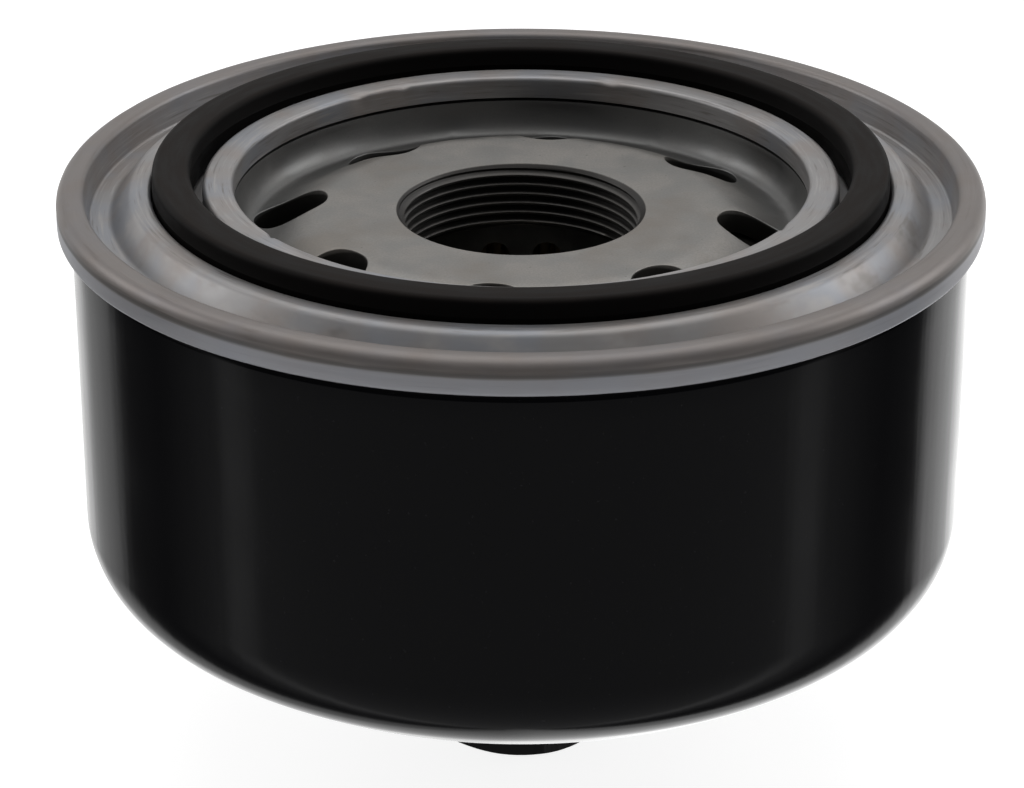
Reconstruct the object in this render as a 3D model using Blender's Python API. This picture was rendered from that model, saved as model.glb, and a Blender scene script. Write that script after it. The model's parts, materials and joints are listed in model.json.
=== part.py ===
"""Spin-on oil filter for a heavy engine, with its mounting face up and its spanner nut down.

Units are metres and +Z is up. The origin is the centre of the hex nut's bottom face, on the filter's
axis. Most heights are measured from the rim plane, the level of the lid seam's widest circle, and the
function up() turns them into world heights.

The housing is the can with its nut, the seamed lid, the tapping plate and the gasket. Inside it the
element hangs on the plate's neck, pressed up by the support spring, with a bypass valve in its lower
end cap. A rubber diaphragm closes the plate's inlet holes from below.
"""

import math

import bmesh
import bpy
from mathutils import Matrix, Vector

MM = 0.001
SEGMENTS = 36
SMALL_SEGMENTS = 24
SHARP_ANGLE = math.radians(35)
GAP = 0.35 * MM

# Seam, lid and can: the outside of the housing
RIM_HEIGHT = 88.5 * MM
SEAM_RADIUS = 68.0 * MM
SHEET = 0.55 * MM
SEAM_TOP = 2.2 * MM
SEAM_BOTTOM = -2.75 * MM
CAN_TOP_RADIUS = 65.93 * MM
CAN_FOOT_RADIUS = 65.65 * MM
CORNER_RADIUS = 12.8 * MM
CORNER_LEVEL = -48.4 * MM
DOME_RADIUS = 107.4 * MM
NECK_IN_RADIUS = 64.95 * MM
HOOK_RADIUS = 66.65 * MM
HOOK_LEVEL = 0.35 * MM

# Lid inside the seam: floor, land, gasket channel and crest
CHUCK_TOP_RADIUS = 64.0 * MM
CHUCK_LOW_RADIUS = 63.2 * MM
LID_FLOOR = -2.3 * MM
FLOOR_INNER = 60.0 * MM
LAND_OUTER = 56.8 * MM
LAND_TOP = 1.7 * MM
CHANNEL_OUTER = 54.5 * MM
COVER_HOOK_RADIUS = 65.8 * MM
COVER_HOOK_TOP = -0.6 * MM
CREST_EDGE = -0.9 * MM

# Gasket and its channel in the lid
GASKET_INNER = 48.4 * MM
GASKET_OUTER = 54.0 * MM
GASKET_TOP = 5.07 * MM
CHANNEL_FLOOR = -1.6 * MM
CREST_TOP = 2.4 * MM
CREST_INNER = 42.2 * MM
CREST_OUTER = 46.7 * MM

# Tapping plate, with its threaded neck and inlet holes
THREAD_MAJOR = 18.0 * MM
THREAD_PITCH = 1.5 * MM
THREAD_DEPTH = 0.5413 * THREAD_PITCH
THREAD_MOUTH = 18.4 * MM
NECK_OUTER = 21.6 * MM
NECK_BOTTOM = -13.1 * MM
BOSS_TOP = -2.85 * MM
BOSS_RADIUS = 29.0 * MM
VALLEY_RADIUS = 39.8 * MM
VALLEY_LEVEL = -6.5 * MM
FLANGE_TOP = -2.5 * MM
FLANGE_BOTTOM = -6.0 * MM
FLANGE_RADIUS = 58.5 * MM
PLATE_THICKNESS = 3.2 * MM
BOSS_THICKNESS = 3.75 * MM
INLET_COUNT = 8
INLET_RADIUS = 5.5 * MM
INLET_CIRCLE = 34.5 * MM
INLET_PHASE = math.radians(-7.5)

# Hex nut on the dome
NUT_ACROSS_FLATS = 24.0 * MM
NUT_PHASE = math.radians(-78)

# Element
CAP_SHEET = 0.5 * MM
ELEMENT_RADIUS = 57.3 * MM
UPPER_CAP_LEVEL = -14.9 * MM
LOWER_CAP_LEVEL = -53.65 * MM
CAP_RIM_DEPTH = 4.1 * MM
TUBE_RADIUS = 26.5 * MM
TUBE_WALL = 0.5 * MM
POTTING = 0.95 * MM
PLEAT_COUNT = 40
PLEAT_OUTER = 56.0 * MM
PLEAT_INNER = 27.5 * MM
PLEAT_TIP_HALF = 0.55 * MM
MEDIA_THICKNESS = 0.6 * MM
SEAM_PLEAT_OUTER = 52.0 * MM

# Bypass valve in the lower end cap
BYPASS_SEAT_RADIUS = 10.6 * MM
BYPASS_SEAT_TOP = -51.6 * MM
BYPASS_DISC_RADIUS = 13.5 * MM
BYPASS_DISC_THICKNESS = 0.6 * MM
BYPASS_SEAL_THICKNESS = 1.0 * MM
CAGE_RADIUS = 16.1 * MM
CAGE_SHEET = 0.6 * MM
CAGE_TOP = -36.25 * MM
BYPASS_WIRE = 1.2 * MM
BYPASS_COIL_RADIUS = 7.0 * MM

# Support spring under the element
SUPPORT_WIRE = 3.0 * MM
SUPPORT_COIL_RADIUS = 21.0 * MM
SUPPORT_BOTTOM = -73.85 * MM
SUPPORT_TURNS = 3.5

# Anti-drain diaphragm and neck grommet
DIAPHRAGM_LIP_RADIUS = 44.0 * MM
DIAPHRAGM_THICKNESS = 0.95 * MM
BEAD_DEPTH = 1.35 * MM
GROMMET_TOP = -11.15 * MM
GROMMET_BOTTOM = -14.4 * MM
GROMMET_OUTER = 24.35 * MM


def up(level):
    """World height of a level measured from the rim plane."""
    return RIM_HEIGHT + level


def clear_scene():
    for old in list(bpy.data.objects):
        bpy.data.objects.remove(old, do_unlink=True)


def material(name, colour, roughness, metallic):
    made = bpy.data.materials.new(name)
    made.use_nodes = True
    shader = made.node_tree.nodes["Principled BSDF"]
    shader.inputs["Base Color"].default_value = (*colour, 1.0)
    shader.inputs["Roughness"].default_value = roughness
    shader.inputs["Metallic"].default_value = metallic
    return made


def empty(name, level):
    """A joint's frame on the filter's axis."""
    made = bpy.data.objects.new(name, None)
    made.location = (0.0, 0.0, up(level))
    bpy.context.collection.objects.link(made)
    return made


def add_object(name, data, finish, parent=None):
    made = bpy.data.objects.new(name, data)
    data.materials.append(finish)
    bpy.context.collection.objects.link(made)
    if parent is not None:
        made.parent = parent
        made.matrix_parent_inverse = Matrix.Translation(-parent.location)
    return made


def mesh_from(bm, name, merge=1e-6):
    """Welds, turns the faces outward and shades the round surfaces smooth."""
    bmesh.ops.remove_doubles(bm, verts=bm.verts, dist=merge)
    bmesh.ops.dissolve_degenerate(bm, dist=merge, edges=bm.edges)
    bmesh.ops.recalc_face_normals(bm, faces=bm.faces)
    mesh = bpy.data.meshes.new(name)
    bm.to_mesh(mesh)
    bm.free()
    mesh.shade_smooth()
    mesh.set_sharp_from_angle(angle=SHARP_ANGLE)
    return mesh


def loft_columns(name, columns, merge=1e-6):
    """Closed ring from one (r, level) loop for each azimuth. The last column lies on the first."""
    bm = bmesh.new()
    rings = []
    for index, loop in enumerate(columns):
        angle = 2.0 * math.pi * index / (len(columns) - 1)
        ring = [bm.verts.new((r * math.cos(angle), r * math.sin(angle), up(level))) for r, level in loop]
        rings.append(ring)
    for first, second in zip(rings, rings[1:]):
        for i in range(len(first)):
            j = (i + 1) % len(first)
            bm.faces.new((first[i], second[i], second[j], first[j]))
    return mesh_from(bm, name, merge)


def turned(name, outline, segments=SEGMENTS):
    """Body turned around Z from a closed (r, level) outline. An edge on the axis is left out."""
    bm = bmesh.new()
    verts = [bm.verts.new((r, 0.0, up(level))) for r, level in outline]
    edges = []
    for first, second in zip(verts, verts[1:] + verts[:1]):
        if first.co.x > 0.0 or second.co.x > 0.0:
            edges.append(bm.edges.new((first, second)))
    bmesh.ops.spin(bm, geom=verts + edges, cent=(0, 0, 0), axis=(0, 0, 1), angle=2.0 * math.pi,
                   steps=segments, use_merge=True)
    return mesh_from(bm, name)


def prism(name, section, low, high):
    """Upright body with one (x, y) section between two world heights."""
    bm = bmesh.new()
    face = bm.faces.new([bm.verts.new((x, y, low)) for x, y in section])
    raised = bmesh.ops.extrude_face_region(bm, geom=[face])
    lifted = [item for item in raised["geom"] if isinstance(item, bmesh.types.BMVert)]
    bmesh.ops.translate(bm, verts=lifted, vec=(0.0, 0.0, high - low))
    return mesh_from(bm, name)


def rounded(points, radii, steps=2):
    """Polyline with its inner corners replaced by arcs. A radius of 0 keeps the corner."""
    result = [points[0]]
    for before, corner, after, radius in zip(points, points[1:], points[2:], radii):
        if radius == 0.0:
            result.append(corner)
            continue
        a = (Vector(before) - Vector(corner)).normalized()
        b = (Vector(after) - Vector(corner)).normalized()
        half = 0.5 * a.angle(b)
        centre = Vector(corner) + (a + b).normalized() * radius / math.sin(half)
        start = Vector(corner) + a * radius / math.tan(half) - centre
        end = Vector(corner) + b * radius / math.tan(half) - centre
        for step in range(steps + 1):
            arm = start.slerp(end, step / steps).normalized() * radius
            result.append(tuple(centre + arm))
    result.append(points[-1])
    return result


def sheet_outline(points, thickness):
    """Closed outline of a sheet whose middle follows the (r, level) points."""
    path = [Vector(p) for p in points]
    left = []
    right = []
    for i, point in enumerate(path):
        normals = []
        if i > 0:
            along = (point - path[i - 1]).normalized()
            normals.append(Vector((-along.y, along.x)))
        if i < len(path) - 1:
            along = (path[i + 1] - point).normalized()
            normals.append(Vector((-along.y, along.x)))
        normal = sum(normals, Vector((0.0, 0.0))).normalized()
        reach = 0.5 * thickness / normal.dot(normals[0])
        on_axis = point.x == 0.0
        left.append((0.0 if on_axis else point.x + normal.x * reach, point.y + normal.y * reach))
        right.append((0.0 if on_axis else point.x - normal.x * reach, point.y - normal.y * reach))
    return left + right[::-1]


def arc(centre, radius, start, end, steps):
    """Points on a circular arc in the (r, level) plane, angles in radians."""
    points = []
    for step in range(steps + 1):
        angle = start + (end - start) * step / steps
        points.append((centre[0] + radius * math.cos(angle), centre[1] + radius * math.sin(angle)))
    return points


def cut(target, cutter):
    """Subtracts the cutter, which stays in the file as a hidden guide."""
    cutter.hide_render = True
    cutter.display_type = "WIRE"
    modifier = target.modifiers.new("cut_" + cutter.name, "BOOLEAN")
    modifier.operation = "DIFFERENCE"
    modifier.solver = "EXACT"
    modifier.object = cutter


def coil(name, radius, wire, bottom, top, turns, points_per_turn, sides_resolution):
    """Helical spring as a curve. bottom and top are the levels of the wire's outer faces."""
    curve = bpy.data.curves.new(name, "CURVE")
    curve.dimensions = "3D"
    curve.bevel_depth = 0.5 * wire
    curve.bevel_resolution = sides_resolution
    curve.use_fill_caps = True
    count = int(turns * points_per_turn)
    low = up(bottom) + 0.5 * wire
    high = up(top) - 0.5 * wire
    flat = 0.5 / turns
    spline = curve.splines.new("POLY")
    spline.points.add(count)
    for i, point in enumerate(spline.points):
        share = i / count
        rise = min(max((share - flat) / (1.0 - 2.0 * flat), 0.0), 1.0)
        end_rise = wire * 1.15 * 0.5
        ends = end_rise * (min(share / flat, 1.0) + max((share - 1.0 + flat) / flat, 0.0))
        height = low + ends + rise * (high - low - 2.0 * end_rise)
        angle = 2.0 * math.pi * turns * share
        point.co = (radius * math.cos(angle), radius * math.sin(angle), height, 1.0)
    return curve


# ---------------------------------------------------------------- housing

def dome_centre():
    """Level of the dome's centre, where dome and corner meet with one tangent."""
    reach = DOME_RADIUS - CORNER_RADIUS
    return CORNER_LEVEL + math.sqrt(reach ** 2 - (CAN_FOOT_RADIUS - CORNER_RADIUS) ** 2)


def can_outline():
    """Deep-drawn can: shallow dome, round corner, straight side, necked-in top and body hook."""
    half = 0.5 * SHEET
    corner = (CAN_FOOT_RADIUS - CORNER_RADIUS, CORNER_LEVEL)
    meeting = math.atan2(CORNER_LEVEL - dome_centre(), corner[0])
    dome = arc((0.0, dome_centre()), DOME_RADIUS - half, -0.5 * math.pi, meeting, 4)
    bend = arc(corner, CORNER_RADIUS - half, meeting, 0.0, 4)
    dome[0] = (0.0, dome[0][1])
    side = [
        (CAN_TOP_RADIUS - half, SEAM_BOTTOM - 2.25 * MM),
        (NECK_IN_RADIUS, SEAM_BOTTOM - SHEET),
        (NECK_IN_RADIUS, HOOK_LEVEL),
        (HOOK_RADIUS, HOOK_LEVEL),
        (HOOK_RADIUS, HOOK_LEVEL - 1.85 * MM),
    ]
    return sheet_outline(dome + bend[1:] + side, SHEET)


def lid_outline():
    """Pressed lid: crest, gasket channel, land, floor, chuck wall and the seam that hooks the can."""
    half = 0.5 * SHEET
    crest_in = CREST_INNER + half
    crest_out = CREST_OUTER - half
    channel_out = CHANNEL_OUTER + half
    land = LAND_TOP - half
    floor = LID_FLOOR - half
    seam_top = SEAM_TOP - half
    seam_out = SEAM_RADIUS - half
    seam_low = SEAM_BOTTOM + half
    path = [
        (crest_in, CREST_EDGE),
        (crest_in, CREST_TOP - half),
        (crest_out, CREST_TOP - half),
        (crest_out, CHANNEL_FLOOR - half),
        (channel_out, CHANNEL_FLOOR - half),
        (channel_out, land),
        (LAND_OUTER, land),
        (FLOOR_INNER, floor),
        (CHUCK_LOW_RADIUS + half, floor),
        (CHUCK_TOP_RADIUS + half, seam_top),
        (seam_out, seam_top),
        (seam_out, seam_low),
        (COVER_HOOK_RADIUS, seam_low),
        (COVER_HOOK_RADIUS, COVER_HOOK_TOP),
    ]
    crest_round = 0.7 * MM
    seam_round = 1.7 * MM
    radii = [crest_round, crest_round, 0.0, 0.0, 0.0, 0.0, 0.0, 0.0, 0.0, seam_round, 0.0, 0.0]
    return sheet_outline(rounded(path, radii), SHEET)


def gasket_outline():
    """Rubber ring with rounded shoulders."""
    bottom = CHANNEL_FLOOR + GAP
    shoulder = 0.9 * MM
    return [
        (GASKET_INNER, bottom),
        (GASKET_OUTER, bottom),
        (GASKET_OUTER, GASKET_TOP - shoulder),
        (GASKET_OUTER - 0.3 * shoulder, GASKET_TOP - 0.3 * shoulder),
        (GASKET_OUTER - shoulder, GASKET_TOP),
        (GASKET_INNER + shoulder, GASKET_TOP),
        (GASKET_INNER + 0.3 * shoulder, GASKET_TOP - 0.3 * shoulder),
        (GASKET_INNER, GASKET_TOP - shoulder),
    ]


def compound_outline():
    """Sealing compound between the can's hook and the top of the lid's seam."""
    bottom = HOOK_LEVEL + 0.5 * SHEET + 0.3 * MM
    top = SEAM_TOP - SHEET - 0.3 * MM
    inner = NECK_IN_RADIUS + 0.25 * MM
    outer = HOOK_RADIUS - 0.15 * MM
    return [(inner, bottom), (outer, bottom), (outer, top), (inner, top)]


def plate_body_path():
    """The plate's surface from the thread's lower mouth round the outside to its upper mouth."""
    valley_low = VALLEY_LEVEL - PLATE_THICKNESS
    boss_low = BOSS_TOP - BOSS_THICKNESS
    edge = 0.5 * MM
    slope = []
    for share in (0.0, 0.25, 0.5, 0.75, 1.0):
        fall = 0.5 - 0.5 * math.cos(math.pi * share)
        radius = VALLEY_RADIUS + (BOSS_RADIUS - VALLEY_RADIUS) * share
        slope.append((radius, VALLEY_LEVEL + (BOSS_TOP - VALLEY_LEVEL) * fall))
    outside = [
        (THREAD_MOUTH, NECK_BOTTOM),
        (NECK_OUTER - edge, NECK_BOTTOM),
        (NECK_OUTER, NECK_BOTTOM + edge),
        (NECK_OUTER, boss_low - edge),
        (NECK_OUTER + edge, boss_low),
        (BOSS_RADIUS + 1.0 * MM, boss_low),
        (VALLEY_RADIUS - 1.3 * MM, valley_low),
        (VALLEY_RADIUS + 3.6 * MM, valley_low),
        (VALLEY_RADIUS + 5.4 * MM, FLANGE_BOTTOM),
        (FLANGE_RADIUS, FLANGE_BOTTOM),
        (FLANGE_RADIUS, FLANGE_TOP),
        (VALLEY_RADIUS + 2.5 * MM, FLANGE_TOP),
        (VALLEY_RADIUS + 1.6 * MM, VALLEY_LEVEL + 1.3 * MM),
    ]
    return outside + slope + [(THREAD_MOUTH, BOSS_TOP)]


def plate_columns():
    """Loops of the plate, each with its own slice of the right-hand thread."""
    crest = THREAD_MAJOR - THREAD_DEPTH
    half_pitch = 0.5 * THREAD_PITCH
    first_root = BOSS_TOP + 0.4 * MM
    rows = int((BOSS_TOP - NECK_BOTTOM + THREAD_PITCH) / half_pitch) + 3
    columns = []
    for index in range(SEGMENTS + 1):
        lead = THREAD_PITCH * index / SEGMENTS
        loop = []
        for row in range(rows):
            level = first_root - row * half_pitch + lead
            level = min(max(level, NECK_BOTTOM), BOSS_TOP)
            thread = crest if row % 2 else THREAD_MAJOR
            mouth = THREAD_MOUTH - min(BOSS_TOP - level, level - NECK_BOTTOM)
            loop.append((max(thread, mouth), level))
        columns.append(loop + plate_body_path())
    return columns


def radial_pegs(name, radius, length, middle, places, sides):
    """Separate cylinders that point outward, one at each (azimuth, level)."""
    bm = bmesh.new()
    for azimuth, level in places:
        turn = Matrix.Rotation(azimuth, 4, "Z") @ Matrix.Translation((middle, 0.0, up(level)))
        turn = turn @ Matrix.Rotation(0.5 * math.pi, 4, "Y")
        bmesh.ops.create_cone(bm, cap_ends=True, segments=sides, radius1=radius, radius2=radius,
                              depth=length, matrix=turn)
    return mesh_from(bm, name)


def inlet_pegs(name):
    """Upright cylinders through the plate's slope, one for each inlet hole."""
    bm = bmesh.new()
    for index in range(INLET_COUNT):
        azimuth = INLET_PHASE + 2.0 * math.pi * index / INLET_COUNT
        place = Matrix.Rotation(azimuth, 4, "Z") @ Matrix.Translation((INLET_CIRCLE, 0.0, up(VALLEY_LEVEL)))
        bmesh.ops.create_cone(bm, cap_ends=True, segments=16, radius1=INLET_RADIUS,
                              radius2=INLET_RADIUS, depth=20.0 * MM, matrix=place)
    return mesh_from(bm, name)


def nut_mesh(name):
    """Plain hexagon that ends just below the dome."""
    top = dome_centre() - DOME_RADIUS - GAP
    corner = NUT_ACROSS_FLATS / math.sqrt(3.0)
    azimuths = [NUT_PHASE + math.radians(60 * side) for side in range(6)]
    section = [(corner * math.cos(azimuth), corner * math.sin(azimuth)) for azimuth in azimuths]
    return prism(name, section, 0.0, up(top))


def nut_chamfer_mesh(name):
    """Ring with a conical inside, which trims the nut's lower corners."""
    face_radius = 0.5 * NUT_ACROSS_FLATS - 0.4 * MM
    spare = 6.0 * MM
    slope = math.tan(math.radians(30))
    low = -RIM_HEIGHT
    inner = face_radius - spare
    outer = face_radius + spare
    outline = [(inner, low - spare * slope), (outer, low + spare * slope), (outer, low - 2.0 * spare),
               (inner, low - 2.0 * spare)]
    return turned(name, outline)


def make_housing():
    black_paint = material("black_paint", (0.012, 0.012, 0.014), 0.25, 0.0)
    lid_steel = material("lid_steel", (0.42, 0.40, 0.39), 0.38, 1.0)
    plate_steel = material("plate_steel", (0.36, 0.35, 0.33), 0.5, 1.0)
    rubber = material("gasket_rubber", (0.025, 0.024, 0.023), 0.6, 0.0)
    sealant = material("sealant", (0.35, 0.33, 0.28), 0.7, 0.0)
    nut_paint = material("nut_paint", (0.012, 0.012, 0.014), 0.3, 0.0)
    add_object("can", turned("can", can_outline()), black_paint)
    add_object("seaming_lid", turned("seaming_lid", lid_outline()), lid_steel)
    add_object("seam_compound", turned("seam_compound", compound_outline()), sealant)
    add_object("gasket", turned("gasket", gasket_outline()), rubber)
    plate = add_object("tapping_plate", loft_columns("tapping_plate", plate_columns(), 0.02 * MM),
                       plate_steel)
    cut(plate, add_object("inlet_hole_guide", inlet_pegs("inlet_hole_guide"), plate_steel))
    nut = add_object("hex_nut", nut_mesh("hex_nut"), nut_paint)
    cut(nut, add_object("nut_chamfer_guide", nut_chamfer_mesh("nut_chamfer_guide"), nut_paint))


# ---------------------------------------------------------------- element

def upper_cap_outline():
    """Dish with a collar for the grommet and a rim turned down over the pleats."""
    path = [
        (GROMMET_OUTER + GAP + 0.5 * CAP_SHEET, -11.6 * MM),
        (GROMMET_OUTER + GAP + 0.5 * CAP_SHEET, UPPER_CAP_LEVEL),
        (ELEMENT_RADIUS, UPPER_CAP_LEVEL),
        (ELEMENT_RADIUS, UPPER_CAP_LEVEL - CAP_RIM_DEPTH),
    ]
    return sheet_outline(path, CAP_SHEET)


def lower_cap_outline():
    """Dish with the bypass seat in its middle and a rim turned up over the pleats."""
    path = [
        (BYPASS_SEAT_RADIUS, BYPASS_SEAT_TOP),
        (BYPASS_SEAT_RADIUS, LOWER_CAP_LEVEL),
        (ELEMENT_RADIUS, LOWER_CAP_LEVEL),
        (ELEMENT_RADIUS, LOWER_CAP_LEVEL + CAP_RIM_DEPTH),
    ]
    return sheet_outline(path, CAP_SHEET)


def potting_outline(cap_face, direction):
    """Adhesive disc beside a cap's inner face. direction is -1 below the upper cap, 1 above the lower."""
    near = cap_face + direction * 0.3 * MM
    far = near + direction * POTTING
    inner = TUBE_RADIUS + 0.4 * MM
    outer = ELEMENT_RADIUS - 0.5 * CAP_SHEET - GAP
    return [(inner, near), (outer, near), (outer, far), (inner, far)]


def potting_far_face(cap_level, direction):
    """Level of the adhesive's face that the pleats stand on."""
    return cap_level + direction * (0.5 * CAP_SHEET + 0.3 * MM + POTTING)


def media_path():
    """Middle line of the pleated paper as (azimuth, radius) pairs. The seam pleat is shorter."""
    path = []
    pitch = 2.0 * math.pi / PLEAT_COUNT
    for index in range(PLEAT_COUNT):
        tip = SEAM_PLEAT_OUTER if index == 0 else PLEAT_OUTER
        azimuth = index * pitch
        outer_lean = PLEAT_TIP_HALF / tip
        inner_lean = PLEAT_TIP_HALF / PLEAT_INNER
        path.append((azimuth - outer_lean, tip))
        path.append((azimuth + outer_lean, tip))
        path.append((azimuth + 0.5 * pitch - inner_lean, PLEAT_INNER))
        path.append((azimuth + 0.5 * pitch + inner_lean, PLEAT_INNER))
    return [Vector((r * math.cos(a), r * math.sin(a))) for a, r in path]


def media_mesh(name):
    """Folded paper sheet of even thickness, standing between the two adhesive discs."""
    low = up(potting_far_face(LOWER_CAP_LEVEL, 1) + GAP)
    high = up(potting_far_face(UPPER_CAP_LEVEL, -1) - GAP)
    path = media_path()
    sides = ([], [])
    for before, point, after in zip(path[-1:] + path[:-1], path, path[1:] + path[:1]):
        first = (point - before).normalized()
        second = (after - point).normalized()
        normal = Vector((first.y + second.y, -first.x - second.x)).normalized()
        reach = 0.5 * MEDIA_THICKNESS / normal.dot(Vector((first.y, -first.x)))
        sides[0].append(point + normal * reach)
        sides[1].append(point - normal * reach)
    bm = bmesh.new()
    rails = []
    for points, height in ((sides[0], low), (sides[0], high), (sides[1], high), (sides[1], low)):
        rails.append([bm.verts.new((p.x, p.y, height)) for p in points])
    for first, second in zip(rails, rails[1:] + rails[:1]):
        for i in range(len(path)):
            j = (i + 1) % len(path)
            bm.faces.new((first[i], first[j], second[j], second[i]))
    return mesh_from(bm, name)


def seam_clip_mesh(name):
    """Channel strip pressed over the paper's joined ends, from end to end of the pleats."""
    inside = 1.1 * MM
    outside = 1.5 * MM
    mouth = 47.0 * MM
    back = SEAM_PLEAT_OUTER + 0.5 * MEDIA_THICKNESS + GAP
    low = up(potting_far_face(LOWER_CAP_LEVEL, 1) + 2.0 * GAP)
    high = up(potting_far_face(UPPER_CAP_LEVEL, -1) - 2.0 * GAP)
    section = [(mouth, inside), (back, inside), (back, -inside), (mouth, -inside), (mouth, -outside),
               (back + 0.4 * MM, -outside), (back + 0.4 * MM, outside), (mouth, outside)]
    return prism(name, section, low, high)


def tube_outline():
    low = LOWER_CAP_LEVEL + 0.5 * CAP_SHEET + GAP
    high = UPPER_CAP_LEVEL - 0.5 * CAP_SHEET - GAP
    inner = TUBE_RADIUS - TUBE_WALL
    return [(inner, low), (TUBE_RADIUS, low), (TUBE_RADIUS, high), (inner, high)]


def tube_hole_places():
    """Three staggered rows of holes round the centre tube."""
    rows = 3
    per_row = 8
    spacing = 10.5 * MM
    middle = 0.5 * (LOWER_CAP_LEVEL + UPPER_CAP_LEVEL)
    places = []
    for row in range(rows):
        for index in range(per_row):
            azimuth = 2.0 * math.pi * (index + 0.5 * (row % 2) + 0.25) / per_row
            places.append((azimuth, middle + (row - 1) * spacing))
    return places


def grommet_outline():
    inner = NECK_OUTER + GAP
    edge = 0.4 * MM
    return [(inner, GROMMET_BOTTOM), (GROMMET_OUTER - edge, GROMMET_BOTTOM),
            (GROMMET_OUTER, GROMMET_BOTTOM + edge), (GROMMET_OUTER, GROMMET_TOP),
            (inner + edge, GROMMET_TOP), (inner, GROMMET_TOP - edge)]


def make_element():
    cap_steel = material("cap_steel", (0.55, 0.54, 0.50), 0.35, 1.0)
    tube_steel = material("tube_steel", (0.5, 0.5, 0.5), 0.4, 1.0)
    paper = material("filter_paper", (0.62, 0.42, 0.16), 0.85, 0.0)
    adhesive = material("potting_adhesive", (0.25, 0.24, 0.22), 0.5, 0.0)
    clip_steel = material("clip_steel", (0.6, 0.6, 0.6), 0.35, 1.0)
    grommet_rubber = material("grommet_rubber", (0.03, 0.03, 0.03), 0.6, 0.0)
    frame = empty("element_frame", LOWER_CAP_LEVEL)
    add_object("upper_end_cap", turned("upper_end_cap", upper_cap_outline()), cap_steel, frame)
    add_object("lower_end_cap", turned("lower_end_cap", lower_cap_outline()), cap_steel, frame)
    upper_face = UPPER_CAP_LEVEL - 0.5 * CAP_SHEET
    lower_face = LOWER_CAP_LEVEL + 0.5 * CAP_SHEET
    add_object("upper_adhesive", turned("upper_adhesive", potting_outline(upper_face, -1)), adhesive, frame)
    add_object("lower_adhesive", turned("lower_adhesive", potting_outline(lower_face, 1)), adhesive, frame)
    add_object("pleated_media", media_mesh("pleated_media"), paper, frame)
    add_object("media_seam_clip", seam_clip_mesh("media_seam_clip"), clip_steel, frame)
    tube = add_object("centre_tube", turned("centre_tube", tube_outline()), tube_steel, frame)
    pegs = radial_pegs("tube_hole_guide", 3.2 * MM, 4.0 * MM, TUBE_RADIUS, tube_hole_places(), 6)
    cut(tube, add_object("tube_hole_guide", pegs, tube_steel, frame))
    add_object("neck_grommet", turned("neck_grommet", grommet_outline()), grommet_rubber, frame)
    return frame


# ---------------------------------------------------------------- bypass valve

def disc_levels():
    """Underside of the seal, underside of the disc and top of the disc."""
    seal_low = BYPASS_SEAT_TOP + GAP
    disc_low = seal_low + BYPASS_SEAL_THICKNESS + GAP
    return seal_low, disc_low, disc_low + BYPASS_DISC_THICKNESS


def seal_outline():
    low = disc_levels()[0]
    inner = 8.0 * MM
    outer = BYPASS_DISC_RADIUS - 0.3 * MM
    high = low + BYPASS_SEAL_THICKNESS
    return [(inner, low), (outer, low), (outer, high), (inner, high)]


def disc_outline():
    """Poppet disc with a raised button that centres the spring."""
    low = disc_levels()[1]
    high = disc_levels()[2]
    button = 5.2 * MM
    rise = 1.5 * MM
    return [(0.0, low), (BYPASS_DISC_RADIUS, low), (BYPASS_DISC_RADIUS, high),
            (button + 0.6 * MM, high), (button, high + rise), (0.0, high + rise)]


def cage_outline():
    """Pressed cup over the valve, with a foot ring on the end cap and a hole in its top."""
    foot_low = LOWER_CAP_LEVEL + 0.5 * CAP_SHEET + GAP
    half = 0.5 * CAGE_SHEET
    path = [
        (21.0 * MM, foot_low + half),
        (CAGE_RADIUS - half, foot_low + half),
        (CAGE_RADIUS - half, CAGE_TOP - half),
        (3.5 * MM, CAGE_TOP - half),
    ]
    return sheet_outline(path, CAGE_SHEET)


def cage_window_mesh(name):
    """Four separate blocks, which cut the oil windows in the cage's wall."""
    bm = bmesh.new()
    windows = 4
    size = Vector((8.0 * MM, 13.0 * MM, 11.0 * MM))
    middle = -44.6 * MM
    for index in range(windows):
        place = Matrix.Rotation(2.0 * math.pi * (index + 0.5) / windows, 4, "Z")
        place = place @ Matrix.Translation((CAGE_RADIUS, 0.0, up(middle))) @ Matrix.Diagonal(size).to_4x4()
        bmesh.ops.create_cube(bm, size=1.0, matrix=place)
    return mesh_from(bm, name)


def make_bypass_valve(element_frame):
    valve_steel = material("valve_steel", (0.6, 0.58, 0.5), 0.35, 1.0)
    seal_rubber = material("valve_rubber", (0.03, 0.03, 0.03), 0.6, 0.0)
    spring_steel = material("spring_steel", (0.45, 0.45, 0.46), 0.3, 1.0)
    cage_steel = material("cage_steel", (0.6, 0.58, 0.5), 0.35, 1.0)
    frame = empty("bypass_frame", BYPASS_SEAT_TOP)
    add_object("bypass_disc", turned("bypass_disc", disc_outline(), SMALL_SEGMENTS), valve_steel, frame)
    add_object("bypass_seal", turned("bypass_seal", seal_outline(), SMALL_SEGMENTS), seal_rubber, frame)
    cage = add_object("bypass_cage", turned("bypass_cage", cage_outline(), SMALL_SEGMENTS), cage_steel,
                      element_frame)
    cut(cage, add_object("cage_window_guide", cage_window_mesh("cage_window_guide"), cage_steel,
                         element_frame))
    spring = coil("bypass_spring", BYPASS_COIL_RADIUS, BYPASS_WIRE, disc_levels()[2] + GAP,
                  CAGE_TOP - CAGE_SHEET - GAP, 4.0, 14, 1)
    add_object("bypass_spring", spring, spring_steel, element_frame)


# ---------------------------------------------------------------- support spring, anti-drain valve

def make_support_spring():
    steel = material("support_spring_steel", (0.3, 0.3, 0.31), 0.35, 1.0)
    top = LOWER_CAP_LEVEL - 0.5 * CAP_SHEET - GAP
    spring = coil("support_spring", SUPPORT_COIL_RADIUS, SUPPORT_WIRE, SUPPORT_BOTTOM, top,
                  SUPPORT_TURNS, 18, 1)
    add_object("support_spring", spring, steel)


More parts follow.
